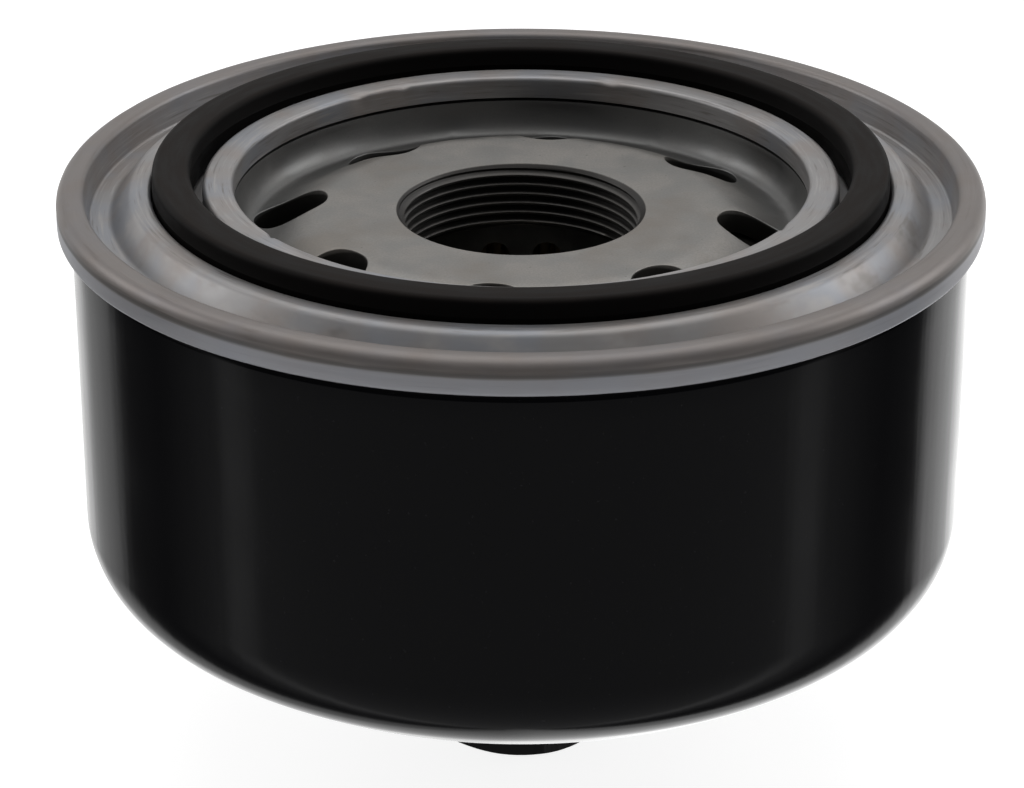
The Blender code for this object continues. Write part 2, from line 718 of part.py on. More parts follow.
def diaphragm_outline():
    """Bead round the neck, cone under the inlet holes and flat lip under the plate's valley."""
    bead_inner = NECK_OUTER + GAP
    bead_top = BOSS_TOP - BOSS_THICKNESS - GAP
    bead_low = bead_top - BEAD_DEPTH
    lip_top = VALLEY_LEVEL - PLATE_THICKNESS - GAP
    lip_low = lip_top - DIAPHRAGM_THICKNESS
    edge = 0.6 * MM
    return [
        (bead_inner, bead_low),
        (28.9 * MM, bead_low),
        (37.9 * MM, lip_low),
        (DIAPHRAGM_LIP_RADIUS, lip_low),
        (DIAPHRAGM_LIP_RADIUS, lip_top),
        (38.3 * MM, lip_top),
        (29.6 * MM, bead_top),
        (bead_inner + edge, bead_top),
        (bead_inner, bead_top - edge),
    ]


def make_anti_drain_valve():
    nitrile = material("nitrile", (0.035, 0.033, 0.03), 0.55, 0.0)
    frame = empty("anti_drain_frame", BOSS_TOP)
    add_object("anti_drain_diaphragm", turned("anti_drain_diaphragm", diaphragm_outline()), nitrile, frame)


def main():
    clear_scene()
    make_housing()
    element_frame = make_element()
    make_bypass_valve(element_frame)
    make_support_spring()
    make_anti_drain_valve()


main()
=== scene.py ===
"""Looks of a spin-on oil filter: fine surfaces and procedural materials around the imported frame.

Profiles are lists of (radius, level) in millimetres. Levels are measured from the rim plane, the level of
the lid seam's widest circle, and up() turns them into heights in the frame, which is in metres with +Z up.
"""

import json
import math

import bmesh
import bpy
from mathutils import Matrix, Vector, noise


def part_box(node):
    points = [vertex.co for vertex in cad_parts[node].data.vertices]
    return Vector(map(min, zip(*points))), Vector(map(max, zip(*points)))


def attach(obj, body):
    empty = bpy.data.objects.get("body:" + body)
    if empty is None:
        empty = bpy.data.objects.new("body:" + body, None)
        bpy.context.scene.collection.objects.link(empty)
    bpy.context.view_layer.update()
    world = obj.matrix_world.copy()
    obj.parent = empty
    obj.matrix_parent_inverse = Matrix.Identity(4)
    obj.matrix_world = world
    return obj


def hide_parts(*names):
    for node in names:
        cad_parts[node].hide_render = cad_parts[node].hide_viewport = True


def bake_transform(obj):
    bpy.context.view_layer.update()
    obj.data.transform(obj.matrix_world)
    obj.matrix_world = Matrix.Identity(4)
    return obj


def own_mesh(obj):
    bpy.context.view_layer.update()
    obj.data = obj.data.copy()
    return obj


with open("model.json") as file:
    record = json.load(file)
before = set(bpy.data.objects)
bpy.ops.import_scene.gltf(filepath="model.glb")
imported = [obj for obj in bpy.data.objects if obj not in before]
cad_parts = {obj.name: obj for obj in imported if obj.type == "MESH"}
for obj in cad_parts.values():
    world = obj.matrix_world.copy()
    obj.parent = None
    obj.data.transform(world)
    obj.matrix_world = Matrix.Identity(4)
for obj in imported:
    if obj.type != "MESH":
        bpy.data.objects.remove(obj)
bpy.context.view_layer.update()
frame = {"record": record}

MM = 0.001
COLUMNS = 256
INNER_COLUMNS = 128
WELD = 1e-6
SHARP_ANGLE = math.radians(38)
TINY = 1e-9

# Housing, in millimetres
CREST_TOP = 2.4
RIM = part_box("seaming_lid")[1].z / MM - CREST_TOP
FLOOR_LEVEL = -RIM
SHEET = 0.55
GAP = 0.35
THREAD_MAJOR = 18.0
THREAD_PITCH = 1.5
THREAD_DEPTH = 0.5413 * THREAD_PITCH
THREAD_MOUTH = 18.4
THREAD_ROWS = 12
NECK_BOTTOM = -13.1
NECK_OUTER = 21.6
BOSS_TOP = -2.85
BOSS_RADIUS = 29.0
BOSS_LOW = -6.6
VALLEY_RADIUS = 39.8
VALLEY_LEVEL = -6.5
VALLEY_LOW = -9.7
INLET_COUNT = 8
INLET_RADIUS = 5.5
INLET_CIRCLE = 34.5
INLET_PHASE = math.radians(-7.5)
PIERCED_FROM = 27.5
PIERCED_TO = 41.2
RISE_WIDE = 2.5
RISE_TALL = 5.0
RISE_START = math.asin((PIERCED_TO - VALLEY_RADIUS) / RISE_WIDE) - 0.5 * math.pi
LIP_TOP = -1.45
NUT_ACROSS_FLATS = 24.0
NUT_PHASE = math.radians(-78)
CHUCK_RADIUS = 64.0
SEAM_RADIUS = 68.0
GASKET_INNER = 48.4
GASKET_OUTER = 54.0
MOULD_LINE = 0.06

# Can, in millimetres
CAN_LOW_RADIUS = 65.65
CAN_HIGH_RADIUS = 65.93
CAN_NECK_RADIUS = 64.95
CORNER_RADIUS = 12.8
CORNER_LEVEL = -48.4
DOME_RADIUS = 107.4

# Element, in millimetres
UPPER_CAP_LEVEL = -14.9
LOWER_CAP_LEVEL = -53.65
CAP_SHEET = 0.5
CAP_SKIRT = 4.1
ELEMENT_RADIUS = 57.3
TUBE_RADIUS = 26.5
TUBE_WALL = 0.5
UPPER_POTTING = (UPPER_CAP_LEVEL - 0.55, UPPER_CAP_LEVEL - 1.5)
LOWER_POTTING = (LOWER_CAP_LEVEL + 0.55, LOWER_CAP_LEVEL + 1.5)
PAPER_TOP = UPPER_POTTING[1] - GAP
PAPER_BOTTOM = LOWER_POTTING[1] + GAP
PLEAT_COUNT = 72
PLEAT_OUTER = 56.0
PLEAT_INNER = 27.5
SEAM_PLEAT_OUTER = 52.0
PAPER = 0.45
CAGE_RADIUS = 16.1
CAGE_SHEET = 0.6


# ---------------- mesh tools

def up(level):
    """Height in the frame of a level in millimetres from the rim plane."""
    return (RIM + level) * MM


def spot(r, angle, level):
    """Place at a radius, an azimuth and a level."""
    return Vector((r * MM * math.cos(angle), r * MM * math.sin(angle), up(level)))


def filleted(corners, steps=5, closed=False):
    """Polyline through (r, level, fillet radius) corners, each rounded by an arc of its radius."""
    count = len(corners)
    points = []
    for i, corner in enumerate(corners):
        here = Vector(corner[:2])
        radius = corner[2] if len(corner) > 2 else 0.0
        if radius == 0.0 or (not closed and i in (0, count - 1)):
            points.append(here)
            continue
        a = (Vector(corners[i - 1][:2]) - here).normalized()
        b = (Vector(corners[(i + 1) % count][:2]) - here).normalized()
        half = 0.5 * a.angle(b)
        centre = here + (a + b).normalized() * radius / math.sin(half)
        start = here + a * radius / math.tan(half) - centre
        end = here + b * radius / math.tan(half) - centre
        for step in range(steps + 1):
            points.append(centre + start.slerp(end, step / steps).normalized() * radius)
    return points


def arc(centre, radius, start, end, steps):
    """Points on a circular arc in the (r, level) plane, angles in radians."""
    angles = [start + (end - start) * step / steps for step in range(steps + 1)]
    return [Vector((centre[0] + radius * math.cos(a), centre[1] + radius * math.sin(a))) for a in angles]


def spread(points, longest):
    """The same polyline with extra points, so that no stretch is longer than the given length."""
    result = [points[0]]
    for first, second in zip(points, points[1:]):
        pieces = max(1, math.ceil((second - first).length / longest))
        result += [first.lerp(second, (i + 1) / pieces) for i in range(pieces)]
    return result


def sheet(points, thickness):
    """Closed outline of a sheet whose middle follows the points."""
    left = []
    right = []
    for i, point in enumerate(points):
        normals = []
        for near, far in ((i - 1, i), (i, i + 1)):
            if near >= 0 and far < len(points):
                along = (points[far] - points[near]).normalized()
                normals.append(Vector((-along.y, along.x)))
        normal = sum(normals, Vector((0.0, 0.0))).normalized()
        reach = 0.5 * thickness / normal.dot(normals[0])
        left.append(point + normal * reach)
        right.append(point - normal * reach)
    for side in (left, right):
        for point in side:
            if abs(point.x) < 1e-4:
                point.x = 0.0
    return left + right[::-1]


def bridge(bm, first, second):
    """Faces between two closed loops of vertices. A loop of one vertex is a pole."""
    count = max(len(first), len(second))
    for i in range(count):
        j = (i + 1) % count
        corners = [first[i % len(first)], first[j % len(first)],
                   second[j % len(second)], second[i % len(second)]]
        corners = list(dict.fromkeys(corners))
        if len(corners) > 2:
            bm.faces.new(corners)


def sweep(bm, outline, columns, start=0.0, closed=True, warp=None):
    """Adds the surface that (r, level) points make when they are turned round the axis."""
    rings = []
    for r, level in outline:
        if r < TINY:
            rings.append([bm.verts.new(spot(0.0, 0.0, level))])
            continue
        ring = []
        for k in range(columns):
            angle = start + 2.0 * math.pi * k / columns
            at = warp(r, angle, level) if warp else (r, level)
            ring.append(bm.verts.new(spot(at[0], angle, at[1])))
        rings.append(ring)
    pairs = list(zip(rings, rings[1:]))
    if closed:
        pairs.append((rings[-1], rings[0]))
    for first, second in pairs:
        bridge(bm, first, second)


def finished(bm, sharp=SHARP_ANGLE):
    """Welds the mesh, turns its faces outward and shades it smooth between its sharp edges."""
    bmesh.ops.remove_doubles(bm, verts=bm.verts, dist=WELD)
    bmesh.ops.dissolve_degenerate(bm, dist=WELD, edges=bm.edges)
    bmesh.ops.recalc_face_normals(bm, faces=bm.faces)
    mesh = bpy.data.meshes.new("fine")
    bm.to_mesh(mesh)
    bm.free()
    mesh.shade_smooth()
    mesh.set_sharp_from_angle(angle=sharp)
    return mesh


def turned(outline, columns=COLUMNS, warp=None):
    """Closed body turned round the axis."""
    bm = bmesh.new()
    sweep(bm, outline, columns, warp=warp)
    return finished(bm)


def pierced(bm, boundary, centre, reach, upper, lower, edge, rings=5):
    """Both faces of a sheet between a cell's boundary and the hole in it, with the hole's rounded wall.

    boundary is a loop of 2-D points and reach(direction) is the hole's radius that way. upper and lower
    turn a 2-D point into its place on either face of the sheet.
    """
    spokes = [(point - centre).normalized() for point in boundary]
    loops = []
    for face in (upper, lower):
        side = []
        for ring in range(rings):
            share = ring / rings
            side.append([face(point.lerp(centre + spoke * (reach(spoke) + edge), share))
                         for point, spoke in zip(boundary, spokes)])
        for step in range(5):
            turn = 0.5 * math.pi * step / 4
            loop = []
            for spoke in spokes:
                flat = centre + spoke * (reach(spoke) + edge * (1.0 - math.sin(turn)))
                near, far = (upper(flat), lower(flat)) if face is upper else (lower(flat), upper(flat))
                depth = edge * MM * (1.0 - math.cos(turn))
                loop.append(near + (far - near).normalized() * depth)
            side.append(loop)
        loops += side if face is upper else side[::-1]
    rows = [[bm.verts.new(place) for place in loop] for loop in loops]
    for first, second in zip(rows, rows[1:]):
        bridge(bm, first, second)


def lofted(bm, sections):
    """Tube through closed loops of places, with a face across each end."""
    rows = [[bm.verts.new(place) for place in section] for section in sections]
    for first, second in zip(rows, rows[1:]):
        bridge(bm, first, second)
    bm.faces.new(rows[0])
    bm.faces.new(rows[-1])


def coil(radius, wire, low, high, turns, per_turn=48, sides=16):
    """Helical spring with closed ends. low and high are heights in metres of the wire's outer faces."""
    count = int(turns * per_turn)
    bottom = low / MM + 0.5 * wire
    top = high / MM - 0.5 * wire
    flat = 0.5 / turns
    end_rise = 0.575 * wire
    path = []
    for i in range(count + 1):
        share = i / count
        rise = min(max((share - flat) / (1.0 - 2.0 * flat), 0.0), 1.0)
        ends = end_rise * (min(share / flat, 1.0) + max((share - 1.0 + flat) / flat, 0.0))
        height = bottom + ends + rise * (top - bottom - 2.0 * end_rise)
        angle = 2.0 * math.pi * turns * share
        path.append(Vector((radius * math.cos(angle), radius * math.sin(angle), height)) * MM)
    sections = []
    for i, point in enumerate(path):
        along = (path[min(i + 1, count)] - path[max(i - 1, 0)]).normalized()
        out = Vector((point.x, point.y, 0.0)).normalized()
        side = along.cross(out).normalized()
        out = side.cross(along)
        loop = []
        for k in range(sides):
            angle = 2.0 * math.pi * k / sides
            loop.append(point + (out * math.cos(angle) + side * math.sin(angle)) * 0.5 * wire * MM)
        sections.append(loop)
    tips = []
    for i, step in ((0, -1), (count, 1)):
        along = (path[i] - path[i - step]).normalized()
        for share in (0.35, 0.7, 0.92):
            shrink = math.sqrt(1.0 - share ** 2)
            shift = along * share * 0.2 * wire * MM
            tips.append([path[i] + (place - path[i]) * shrink + shift for place in sections[i]])
    bm = bmesh.new()
    lofted(bm, tips[2::-1] + sections + tips[3:])
    return finished(bm)


# ---------------- node tools

def node(tree, kind, inputs=(), **settings):
    """Adds a node, sets its properties and fills its inputs with values or with other nodes' outputs."""
    made = tree.nodes.new("ShaderNode" + kind)
    for key, value in settings.items():
        setattr(made, key, value)
    for key, value in dict(inputs).items():
        if isinstance(value, bpy.types.NodeSocket):
            tree.links.new(value, made.inputs[key])
        else:
            made.inputs[key].default_value = value
    return made


def maths(tree, operation, a, b=0.0):
    return node(tree, "Math", {0: a, 1: b}, operation=operation).outputs[0]


def product(tree, a, b):
    return maths(tree, "MULTIPLY", a, b)


def total(tree, a, b):
    return maths(tree, "ADD", a, b)


def position(tree):
    """Place on the object in millimetres, in the frame."""
    found = node(tree, "TexCoord").outputs["Object"]
    return node(tree, "VectorMath", {0: found, 3: 1.0 / MM}, operation="SCALE").outputs[0]


def split(tree, vector):
    return node(tree, "SeparateXYZ", {0: vector}).outputs


def radius_of(tree, place):
    """Distance from the axis, in the place's own unit."""
    x, y = split(tree, place)[:2]
    squares = total(tree, product(tree, x, x), product(tree, y, y))
    return maths(tree, "SQRT", squares)


def around(tree, place, turning, across, climbing):
    """Coordinates for marks that run round the axis, with no joint at any azimuth."""
    x, y, z = split(tree, place)
    r = radius_of(tree, place)
    cells = (product(tree, maths(tree, "DIVIDE", x, r), turning),
             product(tree, maths(tree, "DIVIDE", y, r), turning),
             total(tree, product(tree, r, across), product(tree, z, climbing)))
    return node(tree, "CombineXYZ", dict(enumerate(cells))).outputs[0]


def cloud(tree, vector, size, detail=3.0, roughness=0.5):
    """Noise from 0 to 1, with features of the given size."""
    inputs = {"Vector": vector, "Scale": 1.0 / size, "Detail": detail, "Roughness": roughness}
    made = node(tree, "TexNoise", inputs)
    return made.outputs["Fac"]


def remap(tree, value, low, high, start=0.0, end=1.0):
    """Smooth step of a value between low and high, spread from start to end."""
    inputs = {"Value": value, "From Min": low, "From Max": high, "To Min": start, "To Max": end}
    made = node(tree, "MapRange", inputs, interpolation_type="SMOOTHSTEP")
    return made.outputs[0]


def blend_colours(tree, factor, first, second):
    """Mix of two colours, each a tuple or a socket."""
    made = tree.nodes.new("ShaderNodeMix")
    made.data_type = "RGBA"
    for index, value in ((0, factor), (6, first), (7, second)):
        if isinstance(value, bpy.types.NodeSocket):
            tree.links.new(value, made.inputs[index])
        else:
            made.inputs[index].default_value = (*value, 1.0) if index else value
    return made.outputs[2]


def bumps(tree, heights):
    """Chain of bumps from (height socket, size in millimetres) pairs."""
    normal = None
    for height, size in heights:
        inputs = {"Height": height, "Strength": 1.0, "Distance": size * MM}
        if normal is not None:
            inputs["Normal"] = normal
        normal = node(tree, "Bump", inputs).outputs[0]
    return normal


def new_material(name):
    """Node material, its tree, its Principled shader and the place on the object."""
    made = bpy.data.materials.new(name)
    made.use_nodes = True
    tree = made.node_tree
    return made, tree, tree.nodes["Principled BSDF"], position(tree)


def finish_material(tree, shader, colour, roughness, normal, **constants):
    """Links the colour, roughness and normal, and sets the shader's own constants."""
    for key, value in (("Base Color", colour), ("Roughness", roughness), ("Normal", normal)):
        if isinstance(value, bpy.types.NodeSocket):
            tree.links.new(value, shader.inputs[key])
        else:
            shader.inputs[key].default_value = value
    for key, value in constants.items():
        shader.inputs[key.replace("_", " ")].default_value = value


# ---------------- materials

def black_paint(name):
    """Deep gloss black stoving paint with a faint orange peel and the drawn wall's upright waviness."""
    made, tree, shader, place = new_material(name)
    peel = cloud(tree, place, 1.6, 2.0)
    upright = cloud(tree, around(tree, place, 9.0, 0.0, 0.012), 1.0, 3.0)
    haze = cloud(tree, place, 18.0, 3.0)
    dust = remap(tree, cloud(tree, place, 0.45, 1.0), 0.74, 0.80)
    colour = blend_colours(tree, dust, (0.0011, 0.0011, 0.0016), (0.0080, 0.0080, 0.0090))
    roughness = remap(tree, haze, 0.3, 0.7, 0.11, 0.17)
    finish_material(tree, shader, colour, roughness, bumps(tree, [(peel, 0.004), (upright, 0.05)]))
    shader.inputs["Specular IOR Level"].default_value = 0.13
    return made


def lid_steel(name):
    """Rolled steel: tints, streaks and grain. The seam's top is turned brown and darker, partly a roller-mark
    tint and partly painted shade; its dark crease is painted shade and its pale side is painted light.
    """
    made, tree, shader, place = new_material(name)
    patches = cloud(tree, place, 9.0, 4.0, 0.6)
    elsewhere = node(tree, "VectorMath", {0: place, 1: (31.0, 17.0, 5.0)}, operation="ADD").outputs[0]
    tints = cloud(tree, elsewhere, 14.0, 3.0)
    streaks = cloud(tree, around(tree, place, 5.0, 2.6, 2.2), 1.0, 3.0, 0.6)
    fine = cloud(tree, around(tree, place, 26.0, 7.0, 6.0), 1.0, 2.0)
    grain = cloud(tree, place, 0.22, 2.0)
    warm = blend_colours(tree, remap(tree, patches, 0.40, 0.64), (0.332, 0.324, 0.324), (0.330, 0.302, 0.288))
    cool = blend_colours(tree, remap(tree, tints, 0.46, 0.66), warm, (0.318, 0.326, 0.350))
    rubbed = blend_colours(tree, remap(tree, streaks, 0.50, 0.72), cool, (0.410, 0.396, 0.392))
    colour = blend_colours(tree, remap(tree, streaks, 0.44, 0.28), rubbed, (0.225, 0.212, 0.204))
    r, z = radius_of(tree, place), split(tree, place)[2]
    wander = product(tree, maths(tree, "SUBTRACT", streaks, 0.5), 0.5)
    level = total(tree, maths(tree, "SUBTRACT", z, RIM), wander)
    # The seam's darker brown top: partly a roller-mark tint, partly painted shade that tones down its
    # highlight.
    on_seam = remap(tree, r, CHUCK_RADIUS - 0.6, CHUCK_RADIUS + 0.4, 0.0, 0.70)
    seam_top_tint_and_shade = product(tree, on_seam, remap(tree, level, -0.1, 0.5))
    colour = blend_colours(tree, seam_top_tint_and_shade, colour, (0.190, 0.165, 0.152))
    # Painted light: the hem's outer side is made paler and bluer, standing in for the light it reflects.
    outermost = remap(tree, r, SEAM_RADIUS - 0.8, SEAM_RADIUS - 0.4)
    side = product(tree, outermost, remap(tree, level, 0.0, -0.7, 0.0, 0.7))
    colour = blend_colours(tree, side, colour, (0.345, 0.352, 0.385))
    # Painted shade: a dark line along the crease between the seam's flat top and its side.
    off = maths(tree, "ABSOLUTE", maths(tree, "SUBTRACT", level, 0.05))
    on_side = remap(tree, r, SEAM_RADIUS - 1.0, SEAM_RADIUS - 0.5)
    painted_crease_shade = product(tree, remap(tree, off, 0.60, 0.1, 0.0, 0.72), on_side)
    colour = blend_colours(tree, painted_crease_shade, colour, (0.070, 0.064, 0.060))
    wear = total(tree, product(tree, streaks, 0.22), product(tree, patches, 0.14))
    roughness = total(tree, wear, 0.27)
    normal = bumps(tree, [(streaks, 0.010), (fine, 0.0035), (grain, 0.0022)])
    finish_material(tree, shader, colour, roughness, normal, Metallic=0.7)
    return made


def plate_steel(name):
    """Pressed steel plate: warm grey, fine matt grain, and painted shade in the valley, over the bore's
    thread and on the inlet holes' walls.
    """
    made, tree, shader, place = new_material(name)
    r = radius_of(tree, place)
    patches = cloud(tree, place, 6.5, 4.0, 0.6)
    stains = cloud(tree, place, 15.0, 3.0)
    grain = cloud(tree, place, 0.34, 3.0, 0.65)
    speckle = cloud(tree, place, 0.8, 2.0)
    base = blend_colours(tree, remap(tree, patches, 0.36, 0.66), (0.250, 0.245, 0.234), (0.296, 0.281, 0.263))
    stained = blend_colours(tree, remap(tree, stains, 0.50, 0.70), base, (0.240, 0.219, 0.196))
    grainy = blend_colours(tree, remap(tree, grain, 0.38, 0.62, 0.0, 0.35), stained, (0.190, 0.182, 0.172))
    pits_and_valley_shade = blend_colours(tree, remap(tree, speckle, 0.70, 0.78, 0.0, 0.6), grainy, (0.09, 0.085, 0.08))
    # Painted shade: the sloped ring turns darker grey towards the valley.
    pits_and_valley_shade = blend_colours(tree, remap(tree, r, 32.0, 39.0, 0.0, 0.75), pits_and_valley_shade, (0.135, 0.137, 0.137))
    # Painted shade over the whole bore, darkest at the thread roots.
    in_bore = remap(tree, r, THREAD_MOUTH + 0.05, THREAD_MOUTH - 0.15)
    root = remap(tree, r, THREAD_MAJOR - THREAD_DEPTH + 0.05, THREAD_MAJOR - 0.25, 0.74, 0.93)
    painted_shade = blend_colours(tree, product(tree, in_bore, root), pits_and_valley_shade, (0.034, 0.032, 0.031))
    # Painted shade: the steep walls of the inlet holes, below their upper edge, are made nearly black.
    upright = maths(tree, "ABSOLUTE", split(tree, node(tree, "NewGeometry").outputs["Normal"])[2])
    fall = (VALLEY_LEVEL - BOSS_TOP) / (VALLEY_RADIUS - BOSS_RADIUS)
    drop = product(tree, maths(tree, "SUBTRACT", r, BOSS_RADIUS), fall)
    surface = total(tree, drop, RIM + BOSS_TOP)
    depth = maths(tree, "SUBTRACT", surface, split(tree, place)[2])
    painted_hole_shade = product(tree, remap(tree, upright, 0.45, 0.15, 0.0, 0.85), remap(tree, r, 26.0, 27.0))
    rolled_over = remap(tree, r, 33.0, 38.0, 0.0, 0.45)
    below_edge = maths(tree, "SUBTRACT", depth, rolled_over)
    painted_hole_shade = product(tree, painted_hole_shade, remap(tree, below_edge, 0.0, 0.45))
    painted_hole_shade = product(tree, painted_hole_shade, remap(tree, r, 40.6, 40.2))
    painted_shade = blend_colours(tree, painted_hole_shade, painted_shade, (0.035, 0.033, 0.030))
    roughness = remap(tree, patches, 0.3, 0.7, 0.36, 0.48)
    normal = bumps(tree, [(patches, 0.030), (grain, 0.009), (speckle, 0.008)])
    finish_material(tree, shader, painted_shade, roughness, normal, Metallic=0.85)
    return made


def rubber(name, colour, dusty, grain_size=0.35):
    """Moulded rubber with a satin skin, a fine grain and a little dust on its upper faces."""
    made, tree, shader, place = new_material(name)
    grain = cloud(tree, place, grain_size, 3.0, 0.6)
    smears = cloud(tree, around(tree, place, 6.0, 0.9, 0.5), 1.0, 4.0)
    facing = split(tree, node(tree, "NewGeometry").outputs["Normal"])[2]
    settled = remap(tree, facing, 0.35, 0.95)
    dust = product(tree, settled, remap(tree, smears, 0.30, 0.72, 0.35, 1.0))
    tone = blend_colours(tree, dust, colour, dusty)
    roughness = remap(tree, smears, 0.3, 0.7, 0.46, 0.62)
    finish_material(tree, shader, tone, roughness, bumps(tree, [(grain, 0.012), (smears, 0.02)]))
    shader.inputs["Specular IOR Level"].default_value = 0.06
    return made


def plated_steel(name, bright, dull, roughness=0.34):
    """Plated or tinned pressed steel with soft spangle and drawing streaks."""
    made, tree, shader, place = new_material(name)
    spangle = node(tree, "TexVoronoi", {"Vector": place, "Scale": 0.45}).outputs["Color"]
    flake = split(tree, spangle)[0]
    haze = cloud(tree, place, 7.0, 4.0)
    streaks = cloud(tree, around(tree, place, 5.0, 1.8, 1.8), 1.0, 3.0)
    colour = blend_colours(tree, remap(tree, haze, 0.35, 0.68), bright, dull)
    colour = blend_colours(tree, product(tree, flake, 0.16), colour, tuple(1.5 * c for c in bright))
    rough = total(tree, product(tree, streaks, 0.16), roughness - 0.08)
    finish_material(tree, shader, colour, rough, bumps(tree, [(streaks, 0.006), (haze, 0.012)]), Metallic=1.0)
    return made


def spring_wire(name):
    """Oiled spring wire with a brown-blue temper and lengthwise drawing lines."""
    made, tree, shader, place = new_material(name)
    temper = cloud(tree, place, 5.0, 3.0)
    lines = cloud(tree, around(tree, place, 8.0, 5.0, 5.0), 1.0, 2.0)
    colour = blend_colours(tree, remap(tree, temper, 0.35, 0.65), (0.19, 0.19, 0.21), (0.26, 0.22, 0.19))
    colour = blend_colours(tree, remap(tree, lines, 0.52, 0.70, 0.0, 0.5), colour, (0.36, 0.36, 0.37))
    roughness = remap(tree, lines, 0.3, 0.7, 0.28, 0.42)
    finish_material(tree, shader, colour, roughness, bumps(tree, [(lines, 0.008)]), Metallic=1.0)
    return made


def filter_paper(name):
    """Resin-cured crimped filter paper: fibres, fine corrugations, toasted outer folds and inner folds
    darkened as painted shade.
    """
    made, tree, shader, place = new_material(name)
    r = radius_of(tree, place)
    stretched = node(tree, "VectorMath", {0: place, 1: (1.0, 1.0, 0.22)}, operation="MULTIPLY").outputs[0]
    fibres = cloud(tree, stretched, 0.28, 4.0, 0.65)
    blotches = cloud(tree, place, 4.0, 3.0)
    height = split(tree, place)[2]
    crimps = maths(tree, "SINE", product(tree, height, 2.0 * math.pi / 1.6))
    colour = blend_colours(tree, remap(tree, blotches, 0.35, 0.65), (0.56, 0.36, 0.14), (0.64, 0.44, 0.19))
    colour = blend_colours(tree, remap(tree, fibres, 0.40, 0.68, 0.0, 0.5), colour, (0.74, 0.57, 0.30))
    toasted = remap(tree, r, PLEAT_OUTER - 1.2, PLEAT_OUTER, 0.0, 0.4)
    colour = blend_colours(tree, toasted, colour, (0.42, 0.24, 0.08))
    # Painted shade: the paper darkens towards its inner folds.
    painted_shade = remap(tree, r, PLEAT_INNER + 3.5, PLEAT_INNER + 0.5, 0.0, 0.9)
    colour = blend_colours(tree, painted_shade, colour, (0.05, 0.033, 0.017))
    normal = bumps(tree, [(crimps, 0.05), (fibres, 0.02)])
    finish_material(tree, shader, colour, remap(tree, fibres, 0.3, 0.7, 0.78, 0.92), normal)
    return made


def cured_resin(name, colour, pale):
    """Potting adhesive or sealing compound: a skinned, slightly lumpy surface."""
    made, tree, shader, place = new_material(name)
    lumps = cloud(tree, place, 2.2, 3.0)
    pores = remap(tree, cloud(tree, place, 0.5, 1.0), 0.70, 0.80)
    tone = blend_colours(tree, remap(tree, lumps, 0.35, 0.65), colour, pale)
    tone = blend_colours(tree, product(tree, pores, 0.5), tone, tuple(0.4 * c for c in colour))
    normal = bumps(tree, [(lumps, 0.08), (pores, -0.03)])
    finish_material(tree, shader, tone, remap(tree, lumps, 0.3, 0.7, 0.38, 0.55), normal)
    return made


# ---------------- placing pieces

BODIES = frame["record"]["behaviour"]["bodies"]
BODY_OF = {member: body for body, members in BODIES.items() for member in members}


def add_piece(name, mesh, finish, cad_node):
    """Puts a mesh in the scene in its CAD node's stead, with the given finish, and hides that node. It rides
    on nothing yet.
    """
    piece = bpy.data.objects.new(name, mesh)
    mesh.name = name
    mesh.materials.append(finish)
    bpy.context.scene.collection.objects.link(piece)
    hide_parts(cad_node)
    return piece


def riding_piece(name, mesh, finish, cad_node):
    """A piece that moves with its CAD node's body."""
    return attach(add_piece(name, mesh, finish, cad_node), BODY_OF[cad_node])


# ---------------- can and nut

def dome_centre():
    """Level of the dome's centre, where dome and corner meet with one tangent."""
    reach = DOME_RADIUS - CORNER_RADIUS
    return CORNER_LEVEL + math.sqrt(reach ** 2 - (CAN_LOW_RADIUS - CORNER_RADIUS) ** 2)


def can_outline():
    """Deep-drawn can: shallow dome, round corner, straight side, necked-in top and body hook."""
    half = 0.5 * SHEET
    corner = (CAN_LOW_RADIUS - CORNER_RADIUS, CORNER_LEVEL)
    meeting = math.atan2(corner[1] - dome_centre(), corner[0])
    dome = arc((0.0, dome_centre()), DOME_RADIUS - half, -0.5 * math.pi, meeting, 30)
    dome[0].x = 0.0
    bend = arc(corner, CORNER_RADIUS - half, meeting, 0.0, 28)
    side = filleted([
        (CAN_LOW_RADIUS - half, CORNER_LEVEL),
        (CAN_HIGH_RADIUS - half, -4.35, 1.0),
        (CAN_NECK_RADIUS, -3.2, 0.6),
        (CAN_NECK_RADIUS, 0.35, 0.5),
        (66.65, 0.35, 0.5),
        (66.65, -1.5),
    ])
    return sheet(dome + bend[1:] + spread(side, 4.0)[1:], SHEET)


def can_waviness(r, angle, level):
    """Faint upright waves of the drawn wall, which fade out towards the dome and the seam."""
    fade = min(max((level + 62.0) / 14.0, 0.0), 1.0) * min(max((-4.0 - level) / 8.0, 0.0), 1.0)
    wave = noise.noise(Vector((6.0 * math.cos(angle), 6.0 * math.sin(angle), 0.02 * level)))
    return r + 0.035 * fade * (wave - 0.5), level


def hexagon_reach(angle):
    """Share of the nut's flat-to-flat radius at which the hexagon's side lies, for an azimuth."""
    to_flat = (angle - NUT_PHASE) % (math.pi / 3.0) - math.pi / 6.0
    return 1.0 / math.cos(to_flat)


